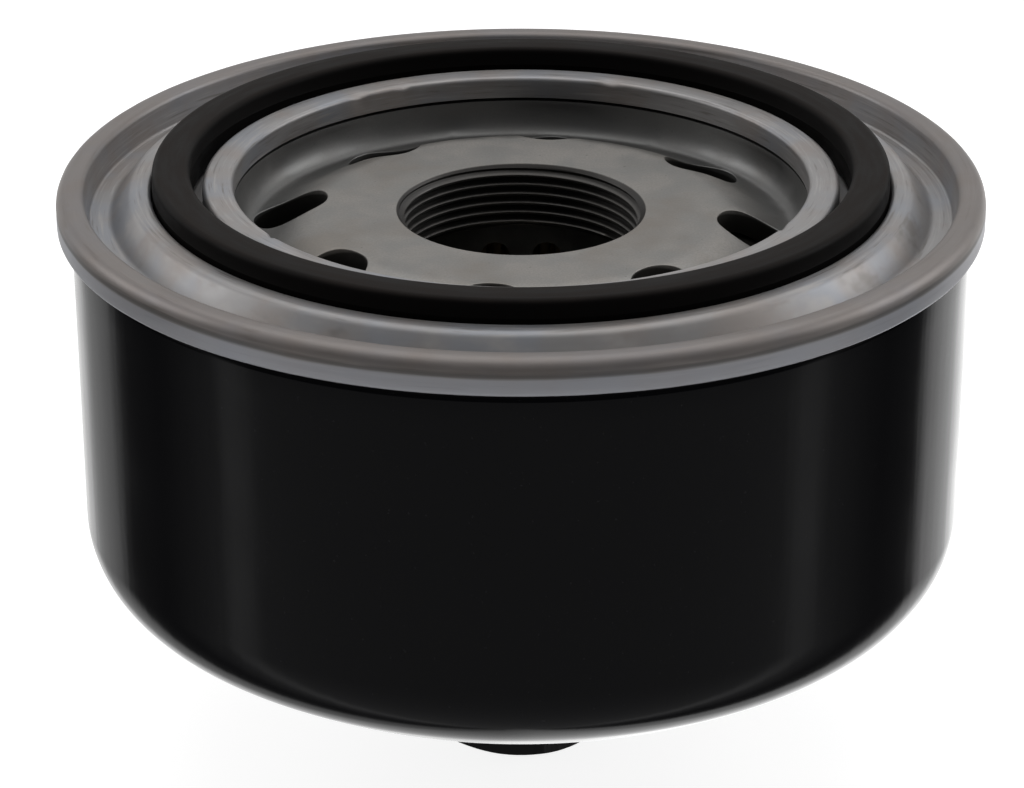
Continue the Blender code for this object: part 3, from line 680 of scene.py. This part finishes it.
def nut_mesh():
    """Hexagon with rounded corners and a 30 degree chamfer below."""
    columns = 240
    flat = 0.5 * NUT_ACROSS_FLATS
    dome_low = dome_centre() - DOME_RADIUS
    top = dome_low - GAP
    chamfer = math.tan(math.radians(30))
    end_radius = flat - 0.42
    corner_round = 0.35
    rows = [0.08 * i for i in range(18)] + [1.6, 2.0] + [2.0 + 2.2 * i for i in range(1, 5)]
    heights = [FLOOR_LEVEL + h for h in rows if FLOOR_LEVEL + h < top - 0.3] + [top]
    bm = bmesh.new()
    loops = [[bm.verts.new(spot(0.0, 0.0, FLOOR_LEVEL))]]
    for r in (3.0, 6.0, 9.0, 10.8):
        angles = [2.0 * math.pi * k / columns for k in range(columns)]
        loops.append([bm.verts.new(spot(r, angle, FLOOR_LEVEL)) for angle in angles])
    for level in heights:
        ring = []
        cone = end_radius + (level - FLOOR_LEVEL) / chamfer
        for k in range(columns):
            angle = 2.0 * math.pi * k / columns
            side = flat * hexagon_reach(angle)
            side = min(side, flat / math.cos(math.pi / 6.0) - corner_round)
            ring.append(bm.verts.new(spot(min(side, cone), angle, level)))
        loops.append(ring)
    loops.append([bm.verts.new(spot(0.0, 0.0, top))])
    for first, second in zip(loops, loops[1:]):
        bridge(bm, first, second)
    return finished(bm, math.radians(25))


def weld_mesh():
    """Uneven fillet weld that runs round the nut's foot, where it meets the dome."""
    columns = 360
    sides = 14
    flat = 0.5 * NUT_ACROSS_FLATS
    sections = []
    for k in range(columns):
        angle = 2.0 * math.pi * k / columns
        ripple = 0.16 * math.sin(angle * 46.0 + 1.2 * math.sin(3.0 * angle))
        swell = 0.25 * noise.noise(Vector((2.0 * math.cos(angle), 2.0 * math.sin(angle), 3.7)))
        size = 1.15 + ripple + swell
        middle = flat * hexagon_reach(angle) + 0.1
        dome = dome_centre() - math.sqrt(DOME_RADIUS ** 2 - middle ** 2)
        loop = []
        for s in range(sides):
            turn = 2.0 * math.pi * s / sides
            loop.append(spot(middle + size * math.cos(turn), angle, dome + 0.25 + size * math.sin(turn)))
        sections.append(loop)
    bm = bmesh.new()
    rows = [[bm.verts.new(place) for place in section] for section in sections]
    for first, second in zip(rows, rows[1:] + rows[:1]):
        bridge(bm, first, second)
    return finished(bm)


def joined(first, second):
    """Adds the second mesh's bodies to the first."""
    bm = bmesh.new()
    bm.from_mesh(first)
    bm.from_mesh(second)
    bm.to_mesh(first)
    bm.free()
    return first


def make_can(paint):
    riding_piece("can_shell", turned(can_outline(), warp=can_waviness), paint, "can")
    nut = joined(nut_mesh(), weld_mesh())
    riding_piece("spanner_nut", nut, paint, "hex_nut")


# ---------------- lid, seam and gasket

def lid_outline():
    """Pressed lid: crest, gasket channel, land, floor, chuck wall and the double seam."""
    half = 0.5 * SHEET
    crest = CREST_TOP - half
    middle = filleted([
        (42.475, -0.9),
        (42.475, crest, 0.40),
        (46.425, crest, 0.55),
        (46.425, -1.875, 0.5),
        (54.475, -1.875, 0.5),
        (54.475, 1.60, 0.33),
        (56.9, 1.425, 1.6),
        (60.0, -2.575, 1.6),
        (CHUCK_RADIUS - 0.525, -2.575, 0.7),
        (CHUCK_RADIUS + half, 1.925, 0.75),
        (SEAM_RADIUS - half, 1.925, 1.65),
        (SEAM_RADIUS - half, -2.67, 0.34),
        (65.8, -2.67, 0.34),
        (65.8, -0.6),
    ], steps=6)
    return sheet(spread(middle, 0.9), SHEET)


def lid_unevenness(r, angle, level):
    """Seaming roller's faint facets on the seam, and small nicks along the crest's inner edge."""
    nicks = ((126.0, 1.1), (115.5, 0.8), (71.0, 1.3), (214.0, 0.9), (331.0, 1.0))
    x, y = math.cos(angle), math.sin(angle)
    if r > CHUCK_RADIUS - 1.0:
        ripple = 0.035 * noise.noise(Vector((14.0 * x, 14.0 * y, 0.6 * level)))
        return r - abs(ripple) - 0.01, level + 0.6 * ripple * (1.0 if level < CREST_TOP - 0.4 else 0.0)
    if r < 47.0 and level > 0.5:
        nick = 0.0
        for azimuth, width in nicks:
            off = math.degrees(math.remainder(angle - math.radians(azimuth), 2.0 * math.pi))
            nick += math.exp(-(off / width) ** 2) * math.exp(-((r - 42.6) / 0.8) ** 2)
        return r + 0.22 * nick, level - 0.36 * nick - 0.02
    return r, level


def gasket_outline():
    """Rubber ring with round shoulders and a mould line halfway up each side."""
    bottom, top, half_way = -1.25, 5.07, 2.4
    inner, outer = GASKET_INNER + MOULD_LINE, GASKET_OUTER - MOULD_LINE
    below, above = half_way - 2.0 * MOULD_LINE, half_way + 2.0 * MOULD_LINE
    return filleted([
        (GASKET_INNER, bottom, 0.5),
        (outer, bottom, 0.5),
        (outer, below),
        (GASKET_OUTER, half_way, 0.05),
        (outer, above),
        (outer, top, 0.95),
        (inner, top, 0.95),
        (inner, above),
        (GASKET_INNER, half_way, 0.05),
        (inner, below),
    ], steps=7, closed=True)


def make_lid_and_gasket():
    lid = turned(lid_outline(), warp=lid_unevenness)
    riding_piece("rolled_lid", lid, lid_steel("lid_steel_fine"), "seaming_lid")
    skin = rubber("gasket_rubber_fine", (0.0046, 0.0040, 0.0038), (0.0180, 0.0145, 0.0128))
    riding_piece("gasket_ring", turned(gasket_outline()), skin, "gasket")
    bead = filleted([(65.2, 0.93, 0.15), (66.5, 0.93, 0.15), (66.5, 1.35, 0.15), (65.2, 1.35, 0.15)],
                    closed=True)
    sealant = cured_resin("sealant_fine", (0.35, 0.33, 0.28), (0.42, 0.40, 0.34))
    riding_piece("seam_sealant", turned(bead), sealant, "seam_compound")


# ---------------- tapping plate

def plate_top(r):
    """Level of the plate's upper face: flat boss, smooth fall to the valley, then a concave wall."""
    if r <= BOSS_RADIUS:
        return BOSS_TOP
    if r <= VALLEY_RADIUS:
        share = (VALLEY_RADIUS - r) / (VALLEY_RADIUS - BOSS_RADIUS)
        return VALLEY_LEVEL + (BOSS_TOP - VALLEY_LEVEL) * (0.5 - 0.5 * math.cos(math.pi * share))
    share = min((r - VALLEY_RADIUS) / RISE_WIDE, 1.0)
    return VALLEY_LEVEL + RISE_TALL * (1.0 - math.sqrt(1.0 - share ** 2))


def plate_low(r):
    """Level of the plate's lower face, which follows the upper one."""
    fall_from, fall_to = 30.0, 38.5
    share = min(max((r - fall_from) / (fall_to - fall_from), 0.0), 1.0)
    return BOSS_LOW + (VALLEY_LOW - BOSS_LOW) * (0.5 - 0.5 * math.cos(math.pi * share))


def add_thread(bm, start):
    """The bore's true helical thread, with a 45 degree mouth at each end."""
    crest = THREAD_MAJOR - THREAD_DEPTH
    rows = int((BOSS_TOP - NECK_BOTTOM) / THREAD_PITCH * THREAD_ROWS) + 2 * THREAD_ROWS + 4
    columns = []
    for index in range(COLUMNS + 1):
        angle = start + 2.0 * math.pi * index / COLUMNS
        lead = THREAD_PITCH * index / COLUMNS
        column = []
        for row in range(rows):
            level = BOSS_TOP + 0.4 - row * THREAD_PITCH / THREAD_ROWS + lead
            level = min(max(level, NECK_BOTTOM), BOSS_TOP)
            phase = (row % THREAD_ROWS) / THREAD_ROWS
            flank = min(max(2.0 * abs(2.0 * phase - 1.0) - 0.5, 0.0), 1.0)
            thread = crest + (THREAD_MAJOR - crest) * flank
            mouth = THREAD_MOUTH - min(BOSS_TOP - level, level - NECK_BOTTOM)
            column.append(bm.verts.new(spot(max(thread, mouth), angle, level)))
        columns.append(column)
    for first, second in zip(columns, columns[1:]):
        for row in range(rows - 1):
            bm.faces.new((first[row], first[row + 1], second[row + 1], second[row]))


def add_inlet_sector(bm, azimuth):
    """One eighth of the sloped ring, with its upright inlet hole."""
    half = math.pi / INLET_COUNT
    along = COLUMNS // INLET_COUNT
    across = 16

    def at(r, angle):
        return Vector((r * math.cos(angle), r * math.sin(angle)))

    def sector_angle(i):
        return azimuth - half + 2.0 * half * i / along

    band = PIERCED_TO - PIERCED_FROM
    boundary = [at(PIERCED_FROM, sector_angle(i)) for i in range(along)]
    boundary += [at(PIERCED_FROM + band * i / across, azimuth + half) for i in range(across)]
    boundary += [at(PIERCED_TO, sector_angle(along - i)) for i in range(along)]
    boundary += [at(PIERCED_TO - band * i / across, azimuth - half) for i in range(across)]
    pierced(bm, boundary, at(INLET_CIRCLE, azimuth), lambda direction: INLET_RADIUS,
            lambda p: Vector((p.x * MM, p.y * MM, up(plate_top(p.length)))),
            lambda p: Vector((p.x * MM, p.y * MM, up(plate_low(p.length)))), edge=0.15, rings=12)


def plate_mesh():
    """Threaded neck, boss, sloped ring with its inlet holes, concave wall, lip and flange as one body."""
    start = INLET_PHASE + math.pi / INLET_COUNT
    bm = bmesh.new()
    add_thread(bm, start)
    for index in range(INLET_COUNT):
        add_inlet_sector(bm, INLET_PHASE + 2.0 * math.pi * index / INLET_COUNT)
    boss = [Vector((r, BOSS_TOP)) for r in (THREAD_MOUTH, 18.55, 19.5, 21.5, 24.0, 26.0, PIERCED_FROM)]
    sweep(bm, boss, COLUMNS, start, closed=False)
    quarter = arc((0.0, 0.0), 1.0, RISE_START, -math.radians(3.0), 12)
    concave = [Vector((VALLEY_RADIUS + RISE_WIDE * p.x, VALLEY_LEVEL + RISE_TALL * (1.0 + p.y)))
               for p in quarter]
    rim = concave + filleted([
        (VALLEY_RADIUS + RISE_WIDE + 0.05, LIP_TOP),
        (43.5, LIP_TOP, 0.45),
        (44.4, -2.5, 0.6),
        (58.5, -2.5, 0.4),
        (58.5, -6.0, 0.4),
        (45.2, -6.0, 1.0),
        (43.4, -9.7, 0.8),
        (PIERCED_TO, plate_low(PIERCED_TO)),
    ])
    sweep(bm, spread(rim, 2.0), COLUMNS, start, closed=False)
    neck = filleted([
        (PIERCED_FROM, BOSS_LOW),
        (NECK_OUTER, BOSS_LOW, 0.7),
        (NECK_OUTER, NECK_BOTTOM, 0.5),
        (THREAD_MOUTH, NECK_BOTTOM),
    ])
    sweep(bm, spread(neck, 2.0), COLUMNS, start, closed=False)
    return finished(bm)


# ---------------- element

def cap_outline(corners):
    return sheet(spread(filleted(corners), 3.0), CAP_SHEET)


def potting_mesh(near, far):
    """Disc of cured adhesive whose far face rises a little against each pleat."""
    inner, outer = 26.9, 56.7
    outline = filleted([(inner, near, 0.2), (outer, near, 0.2), (outer, far, 0.3), (inner, far, 0.3)],
                       closed=True)
    ordered = spread(outline + outline[:1], 1.6)[:-1]

    def meniscus(r, angle, level):
        swell = 0.05 * math.cos(PLEAT_COUNT * angle) * math.sin(math.pi * (r - inner) / (outer - inner))
        return r, level - math.copysign(abs(swell), far - near) * (1.0 if abs(level - far) < 0.1 else 0.0)

    return turned(ordered, 288, meniscus)


def media_mesh():
    """Pleated paper of even thickness, with round folds. The pleat that holds the clip is shorter."""
    pitch = 2.0 * math.pi / PLEAT_COUNT
    outer_fold, inner_fold = 0.75, 0.55
    path = []
    for index in range(PLEAT_COUNT):
        tip = SEAM_PLEAT_OUTER if index == 0 else PLEAT_OUTER
        for azimuth, centre, radius in ((index * pitch, tip - outer_fold, outer_fold),
                                        ((index + 0.5) * pitch, PLEAT_INNER + inner_fold, -inner_fold)):
            out = Vector((math.cos(azimuth), math.sin(azimuth)))
            side = Vector((-out.y, out.x))
            for step in range(7):
                turn = math.radians(-78.0 + 26.0 * step)
                path.append(out * (centre + radius * math.cos(turn)) + side * abs(radius) * math.sin(turn))
    sides = ([], [])
    for before, point, after in zip(path[-1:] + path[:-1], path, path[1:] + path[:1]):
        first = (point - before).normalized()
        second = (after - point).normalized()
        normal = Vector((first.y + second.y, -first.x - second.x)).normalized()
        reach = 0.5 * PAPER / normal.dot(Vector((first.y, -first.x)))
        sides[0].append(point + normal * reach)
        sides[1].append(point - normal * reach)
    levels = [PAPER_BOTTOM + (PAPER_TOP - PAPER_BOTTOM) * i / 10 for i in range(11)]
    bm = bmesh.new()
    loops = [(sides[0], level) for level in levels] + [(sides[1], level) for level in reversed(levels)]
    rows = [[bm.verts.new((p.x * MM, p.y * MM, up(level))) for p in side] for side, level in loops]
    for first, second in zip(rows, rows[1:] + rows[:1]):
        bridge(bm, first, second)
    return finished(bm)


def clip_mesh():
    """Folded metal strip pressed over the paper's joined ends."""
    back = SEAM_PLEAT_OUTER + 0.65
    mouth, inside, outside = 47.0, 1.1, 1.5
    strip = outside - inside
    section = filleted([
        (mouth, inside), (back, inside, 0.15), (back, -inside, 0.15), (mouth, -inside), (mouth, -outside),
        (back + strip, -outside, 0.45), (back + strip, outside, 0.45), (mouth, outside)], closed=True)
    low, high = PAPER_BOTTOM + GAP, PAPER_TOP - GAP
    levels = [low + (high - low) * i / 24 for i in range(25)]
    bm = bmesh.new()
    lofted(bm, [[Vector((x * MM, y * MM, up(level))) for x, y in section] for level in levels])
    return finished(bm)


def wrapped(radius, true_radius):
    """Turns an (arc length, level) point into its place on a cylinder. Arc lengths are at the true radius."""
    return lambda p: spot(radius, p.x / true_radius, p.y)


def cell_boundary(left, right, low, high, along, across):
    """Loop of points round a rectangular cell."""
    loop = [Vector((left + (right - left) * i / along, low)) for i in range(along)]
    loop += [Vector((right, low + (high - low) * i / across)) for i in range(across)]
    loop += [Vector((right - (right - left) * i / along, high)) for i in range(along)]
    loop += [Vector((left, high - (high - low) * i / across)) for i in range(across)]
    return loop


def tube_mesh():
    """Perforated centre tube with staggered rows of round holes."""
    low, high = -53.05, -15.5
    columns, rows, along = 20, 5, 6
    hole = 2.3
    margin = 2.2
    cell = 2.0 * math.pi * TUBE_RADIUS / columns
    step = (high - low - 2.0 * margin) / rows
    outer = wrapped(TUBE_RADIUS, TUBE_RADIUS)
    inner = wrapped(TUBE_RADIUS - TUBE_WALL, TUBE_RADIUS)
    bm = bmesh.new()
    for row in range(rows):
        floor = low + margin + row * step
        for column in range(columns):
            left = (column + 0.5 * (row % 2)) * cell
            boundary = cell_boundary(left, left + cell, floor, floor + step, along, 6)
            centre = Vector((left + 0.5 * cell, floor + 0.5 * step))
            pierced(bm, boundary, centre, lambda direction: hole, outer, inner, edge=0.12, rings=2)
    inside = TUBE_RADIUS - TUBE_WALL
    for edge, band in ((low, low + margin), (high, high - margin)):
        ends = filleted([(TUBE_RADIUS, band), (TUBE_RADIUS, edge, 0.2),
                         (inside, edge, 0.2), (inside, band)], 3)
        sweep(bm, ends, columns * along, closed=False)
    return finished(bm)


def cage_mesh():
    """Pressed cup over the bypass valve, with four oil windows, a foot ring and a hole in its top."""
    low, high, windows, along = -51.2, -38.0, 4, 24
    outer_radius = CAGE_RADIUS
    inner_radius = CAGE_RADIUS - CAGE_SHEET
    cell = 2.0 * math.pi * outer_radius / windows
    half_wide, half_tall, squareness = 6.5, 5.3, 7.0

    def window(direction):
        """Distance from the window's middle to its rounded rectangular edge."""
        wide = abs(direction.x / half_wide) ** squareness
        tall = abs(direction.y / half_tall) ** squareness
        return (wide + tall) ** (-1.0 / squareness)

    bm = bmesh.new()
    for index in range(windows):
        left = index * cell
        boundary = cell_boundary(left, left + cell, low, high, along, 12)
        pierced(bm, boundary, Vector((left + 0.5 * cell, 0.5 * (low + high))), window,
                wrapped(outer_radius, outer_radius), wrapped(inner_radius, outer_radius), edge=0.15, rings=3)
    half = 0.5 * CAGE_SHEET
    middle = CAGE_RADIUS - half
    roof, ground, vent, foot_reach = -36.25 - half, -53.05 + half, 3.5, 21.0
    top = filleted([(middle, high), (middle, roof, 1.2), (vent, roof)], 6)
    foot = filleted([(middle, low), (middle, ground, 0.9), (foot_reach, ground)], 6)
    for profile in (top, foot):
        sweep(bm, sheet(spread(profile, 2.0), CAGE_SHEET), windows * along, closed=False)
    return finished(bm)


def make_element(cap_finish, rubber_finish):
    upper = cap_outline([
        (24.95, -11.6),
        (24.95, UPPER_CAP_LEVEL, 0.7),
        (ELEMENT_RADIUS, UPPER_CAP_LEVEL, 1.0),
        (ELEMENT_RADIUS, UPPER_CAP_LEVEL - CAP_SKIRT),
    ])
    riding_piece("upper_cap_pressing", turned(upper), cap_finish, "upper_end_cap")
    lower = cap_outline([
        (10.6, -51.6),
        (10.6, LOWER_CAP_LEVEL, 0.6),
        (ELEMENT_RADIUS, LOWER_CAP_LEVEL, 1.0),
        (ELEMENT_RADIUS, LOWER_CAP_LEVEL + CAP_SKIRT),
    ])
    riding_piece("lower_cap_pressing", turned(lower), cap_finish, "lower_end_cap")
    potting = cured_resin("potting_fine", (0.23, 0.22, 0.20), (0.30, 0.28, 0.25))
    riding_piece("upper_potting", potting_mesh(*UPPER_POTTING), potting, "upper_adhesive")
    riding_piece("lower_potting", potting_mesh(*LOWER_POTTING), potting, "lower_adhesive")
    paper = filter_paper("filter_paper_fine")
    riding_piece("folded_paper", media_mesh(), paper, "pleated_media")
    clip_steel = plated_steel("clip_steel_fine", (0.58, 0.57, 0.54), (0.46, 0.45, 0.43))
    riding_piece("paper_clip_strip", clip_mesh(), clip_steel, "media_seam_clip")
    tinplate = plated_steel("tinplate_fine", (0.20, 0.20, 0.20), (0.13, 0.13, 0.13), 0.42)
    riding_piece("perforated_tube", tube_mesh(), tinplate, "centre_tube")
    ribs = filleted([
        (21.95, -11.15, 0.4), (24.35, -11.15, 0.3), (24.35, -12.2, 0.2), (24.15, -12.6, 0.2),
        (24.35, -13.0, 0.2), (24.35, -14.4, 0.4), (21.95, -14.4, 0.3), (21.95, -13.4, 0.2),
        (22.2, -12.9, 0.2), (21.95, -12.4, 0.2),
    ], closed=True)
    riding_piece("neck_seal", turned(ribs, INNER_COLUMNS), rubber_finish, "neck_grommet")


# ---------------- valves and springs

def make_bypass_valve(cap_finish, rubber_finish, wire_finish):
    disc = filleted([
        (0.0, -49.9), (13.5, -49.9, 0.2), (13.5, -49.3, 0.2),
        (6.1, -49.3, 0.5), (5.2, -47.8, 0.6), (0.0, -47.8)])
    disc_piece = turned(disc, INNER_COLUMNS)
    riding_piece("poppet_disc", disc_piece, cap_finish, "bypass_disc")
    washer = filleted([(8.0, -51.25, 0.25), (13.2, -51.25, 0.25), (13.2, -50.25, 0.25), (8.0, -50.25, 0.25)],
                      closed=True)
    washer_piece = turned(washer, INNER_COLUMNS)
    riding_piece("poppet_washer", washer_piece, rubber_finish, "bypass_seal")
    riding_piece("valve_cage", cage_mesh(), cap_finish, "bypass_cage")
    low, high = (corner.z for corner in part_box("bypass_spring"))
    wire = coil(radius=7.0, wire=1.2, low=low, high=high, turns=4.0)
    spring = riding_piece("valve_spring", wire, wire_finish, "bypass_spring")
    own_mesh(spring)


def make_support_spring(wire_finish):
    low, high = (corner.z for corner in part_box("support_spring"))
    wire = coil(radius=21.0, wire=3.0, low=low, high=high, turns=3.5, per_turn=72, sides=20)
    spring = riding_piece("element_spring", wire, wire_finish, "support_spring")
    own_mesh(spring)


def make_diaphragm():
    """Anti-drain diaphragm, baked into the frame and attached to no body."""
    outline = filleted([
        (21.95, -8.3, 0.3), (28.9, -8.3, 1.2), (37.9, -11.0, 1.5), (44.0, -11.0, 0.3), (44.0, -10.05, 0.3),
        (38.3, -10.05, 1.2), (29.6, -6.95, 1.0), (22.55, -6.95, 0.3), (21.95, -7.55, 0.2),
    ], closed=True)
    outline = spread(outline + outline[:1], 1.0)[:-1]
    skin = rubber("nitrile_fine", (0.014, 0.013, 0.012), (0.020, 0.019, 0.018), 0.6)
    flap = add_piece("drain_flap", turned(outline, 192), skin, "anti_drain_diaphragm")
    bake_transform(flap)


# ---------------- stage

CAMERA_DISTANCE = 0.5958
CAMERA_ELEVATION = math.radians(24.21)
CAMERA_AIM = 0.0556
CAMERA_LENS = 139.26
CAMERA_SHIFT = -0.00879
BACKDROP = 0.95
NEAR_SWEEP = 0.50
WIDE_SWEEP_LEFT = 0.62
WIDE_SWEEP_RIGHT = 1.10
TABLE = 0.50
STRIPS = 0.45
CEILING = 0.44


def make_floor():
    """Plain pale floor, lit a little from within. Gloss reflects the world's white table in its stead."""
    half = 3.0
    mesh = bpy.data.meshes.new("studio_floor")
    corners = [(-half, -half, 0.0), (half, -half, 0.0), (half, half, 0.0), (-half, half, 0.0)]
    mesh.from_pydata(corners, [], [(0, 1, 2, 3)])
    floor = bpy.data.objects.new("studio_floor", mesh)
    made = bpy.data.materials.new("floor_paint")
    made.use_nodes = True
    shader = made.node_tree.nodes["Principled BSDF"]
    shader.inputs["Base Color"].default_value = (0.42, 0.42, 0.42, 1.0)
    shader.inputs["Emission Color"].default_value = (1.0, 1.0, 1.0, 1.0)
    shader.inputs["Emission Strength"].default_value = 0.88
    shader.inputs["Roughness"].default_value = 0.9
    shader.inputs["Specular IOR Level"].default_value = 0.0
    mesh.materials.append(made)
    bpy.context.scene.collection.objects.link(floor)
    floor.visible_glossy = False


def degrees_between(tree, value, full, none):
    """1 where an angle's cosine says it is under full degrees, 0 where it is over none degrees."""
    return remap(tree, value, math.cos(math.radians(none)), math.cos(math.radians(full)))


def make_world():
    """Soft studio surroundings: white table and sweep, two faint side strips, dim front and ceiling."""
    world = bpy.data.worlds.new("studio")
    bpy.context.scene.world = world
    world.use_nodes = True
    tree = world.node_tree
    for old in list(tree.nodes):
        tree.nodes.remove(old)
    direction = node(tree, "TexCoord").outputs["Generated"]
    x, y, z = split(tree, direction)
    behind = maths(tree, "DIVIDE", y, maths(tree, "MAXIMUM", radius_of(tree, direction), 0.001))
    right = remap(tree, x, -0.05, 0.05)
    near_sweep = product(tree, degrees_between(tree, behind, 25, 33), NEAR_SWEEP)
    brighter_right = remap(tree, right, 0.0, 1.0, WIDE_SWEEP_LEFT, WIDE_SWEEP_RIGHT)
    wide_sweep = product(tree, degrees_between(tree, behind, 48, 58), brighter_right)
    table = remap(tree, z, -0.22, -0.42, 0.06, TABLE)
    table = product(tree, table, remap(tree, behind, 0.3, -0.3, 0.15, 1.0))
    off_strip = maths(tree, "ABSOLUTE", total(tree, behind, 0.21))
    strips = remap(tree, off_strip, 0.13, 0.03, 0.0, STRIPS)
    lower = total(tree, total(tree, wide_sweep, near_sweep), total(tree, table, strips))
    sides = remap(tree, behind, -0.5, 0.5, 0.10, 0.62)
    zenith = remap(tree, z, 0.55, 0.95)
    overhead = product(tree, zenith, CEILING)
    upper = total(tree, product(tree, sides, maths(tree, "SUBTRACT", 1.0, zenith)), overhead)
    above = remap(tree, z, -0.12, 0.02)
    below = maths(tree, "SUBTRACT", 1.0, above)
    mixed = total(tree, product(tree, upper, above), product(tree, lower, below))
    seen = node(tree, "LightPath").outputs["Is Camera Ray"]
    unseen = maths(tree, "SUBTRACT", 1.0, seen)
    strength = total(tree, product(tree, seen, BACKDROP), product(tree, unseen, mixed))
    background = node(tree, "Background", {"Color": (1.0, 1.0, 1.0, 1.0), "Strength": strength})
    output = node(tree, "OutputWorld")
    tree.links.new(background.outputs[0], output.inputs[0])


def make_light(name, place, size, power):
    """Square softbox that faces the filter's middle."""
    lamp = bpy.data.lights.new(name, "AREA")
    lamp.shape = "SQUARE"
    lamp.size = size
    lamp.energy = power
    light = bpy.data.objects.new(name, lamp)
    light.location = place
    aim = Vector((0.0, 0.0, 0.06)) - Vector(place)
    light.rotation_euler = aim.to_track_quat("-Z", "Y").to_euler()
    light.visible_camera = False
    bpy.context.scene.collection.objects.link(light)


def make_camera():
    """Camera that looks at the axis from the front, a little from above."""
    lens = bpy.data.cameras.new("camera")
    lens.lens = CAMERA_LENS
    lens.shift_x = CAMERA_SHIFT
    lens.clip_start = 0.01
    camera = bpy.data.objects.new("camera", lens)
    reach = CAMERA_DISTANCE * math.cos(CAMERA_ELEVATION)
    camera.location = (0.0, -reach, CAMERA_AIM + CAMERA_DISTANCE * math.sin(CAMERA_ELEVATION))
    camera.rotation_euler = (0.5 * math.pi - CAMERA_ELEVATION, 0.0, 0.0)
    bpy.context.scene.collection.objects.link(camera)
    bpy.context.scene.camera = camera


def make_stage():
    make_floor()
    make_world()
    make_light("top_softbox", (0.0, 0.35, 1.1), 1.2, 4.0)
    make_light("left_softbox", (-0.9, 0.20, 0.55), 0.5, 1.5)
    make_light("right_softbox", (0.9, 0.20, 0.55), 0.6, 2.2)
    make_camera()
    bpy.context.scene.view_settings.view_transform = "Standard"


def main():
    paint = black_paint("black_paint_fine")
    make_can(paint)
    make_lid_and_gasket()
    plate = plate_mesh()
    riding_piece("threaded_plate", plate, plate_steel("plate_steel_fine"), "tapping_plate")
    cap_finish = plated_steel("cap_steel_fine", (0.56, 0.54, 0.47), (0.44, 0.43, 0.39))
    seal_rubber = rubber("nitrile_seal_fine", (0.014, 0.013, 0.012), (0.018, 0.017, 0.016), 0.5)
    wire = spring_wire("spring_wire_fine")
    make_element(cap_finish, seal_rubber)
    make_bypass_valve(cap_finish, seal_rubber, wire)
    make_support_spring(wire)
    make_diaphragm()
    make_stage()


main()
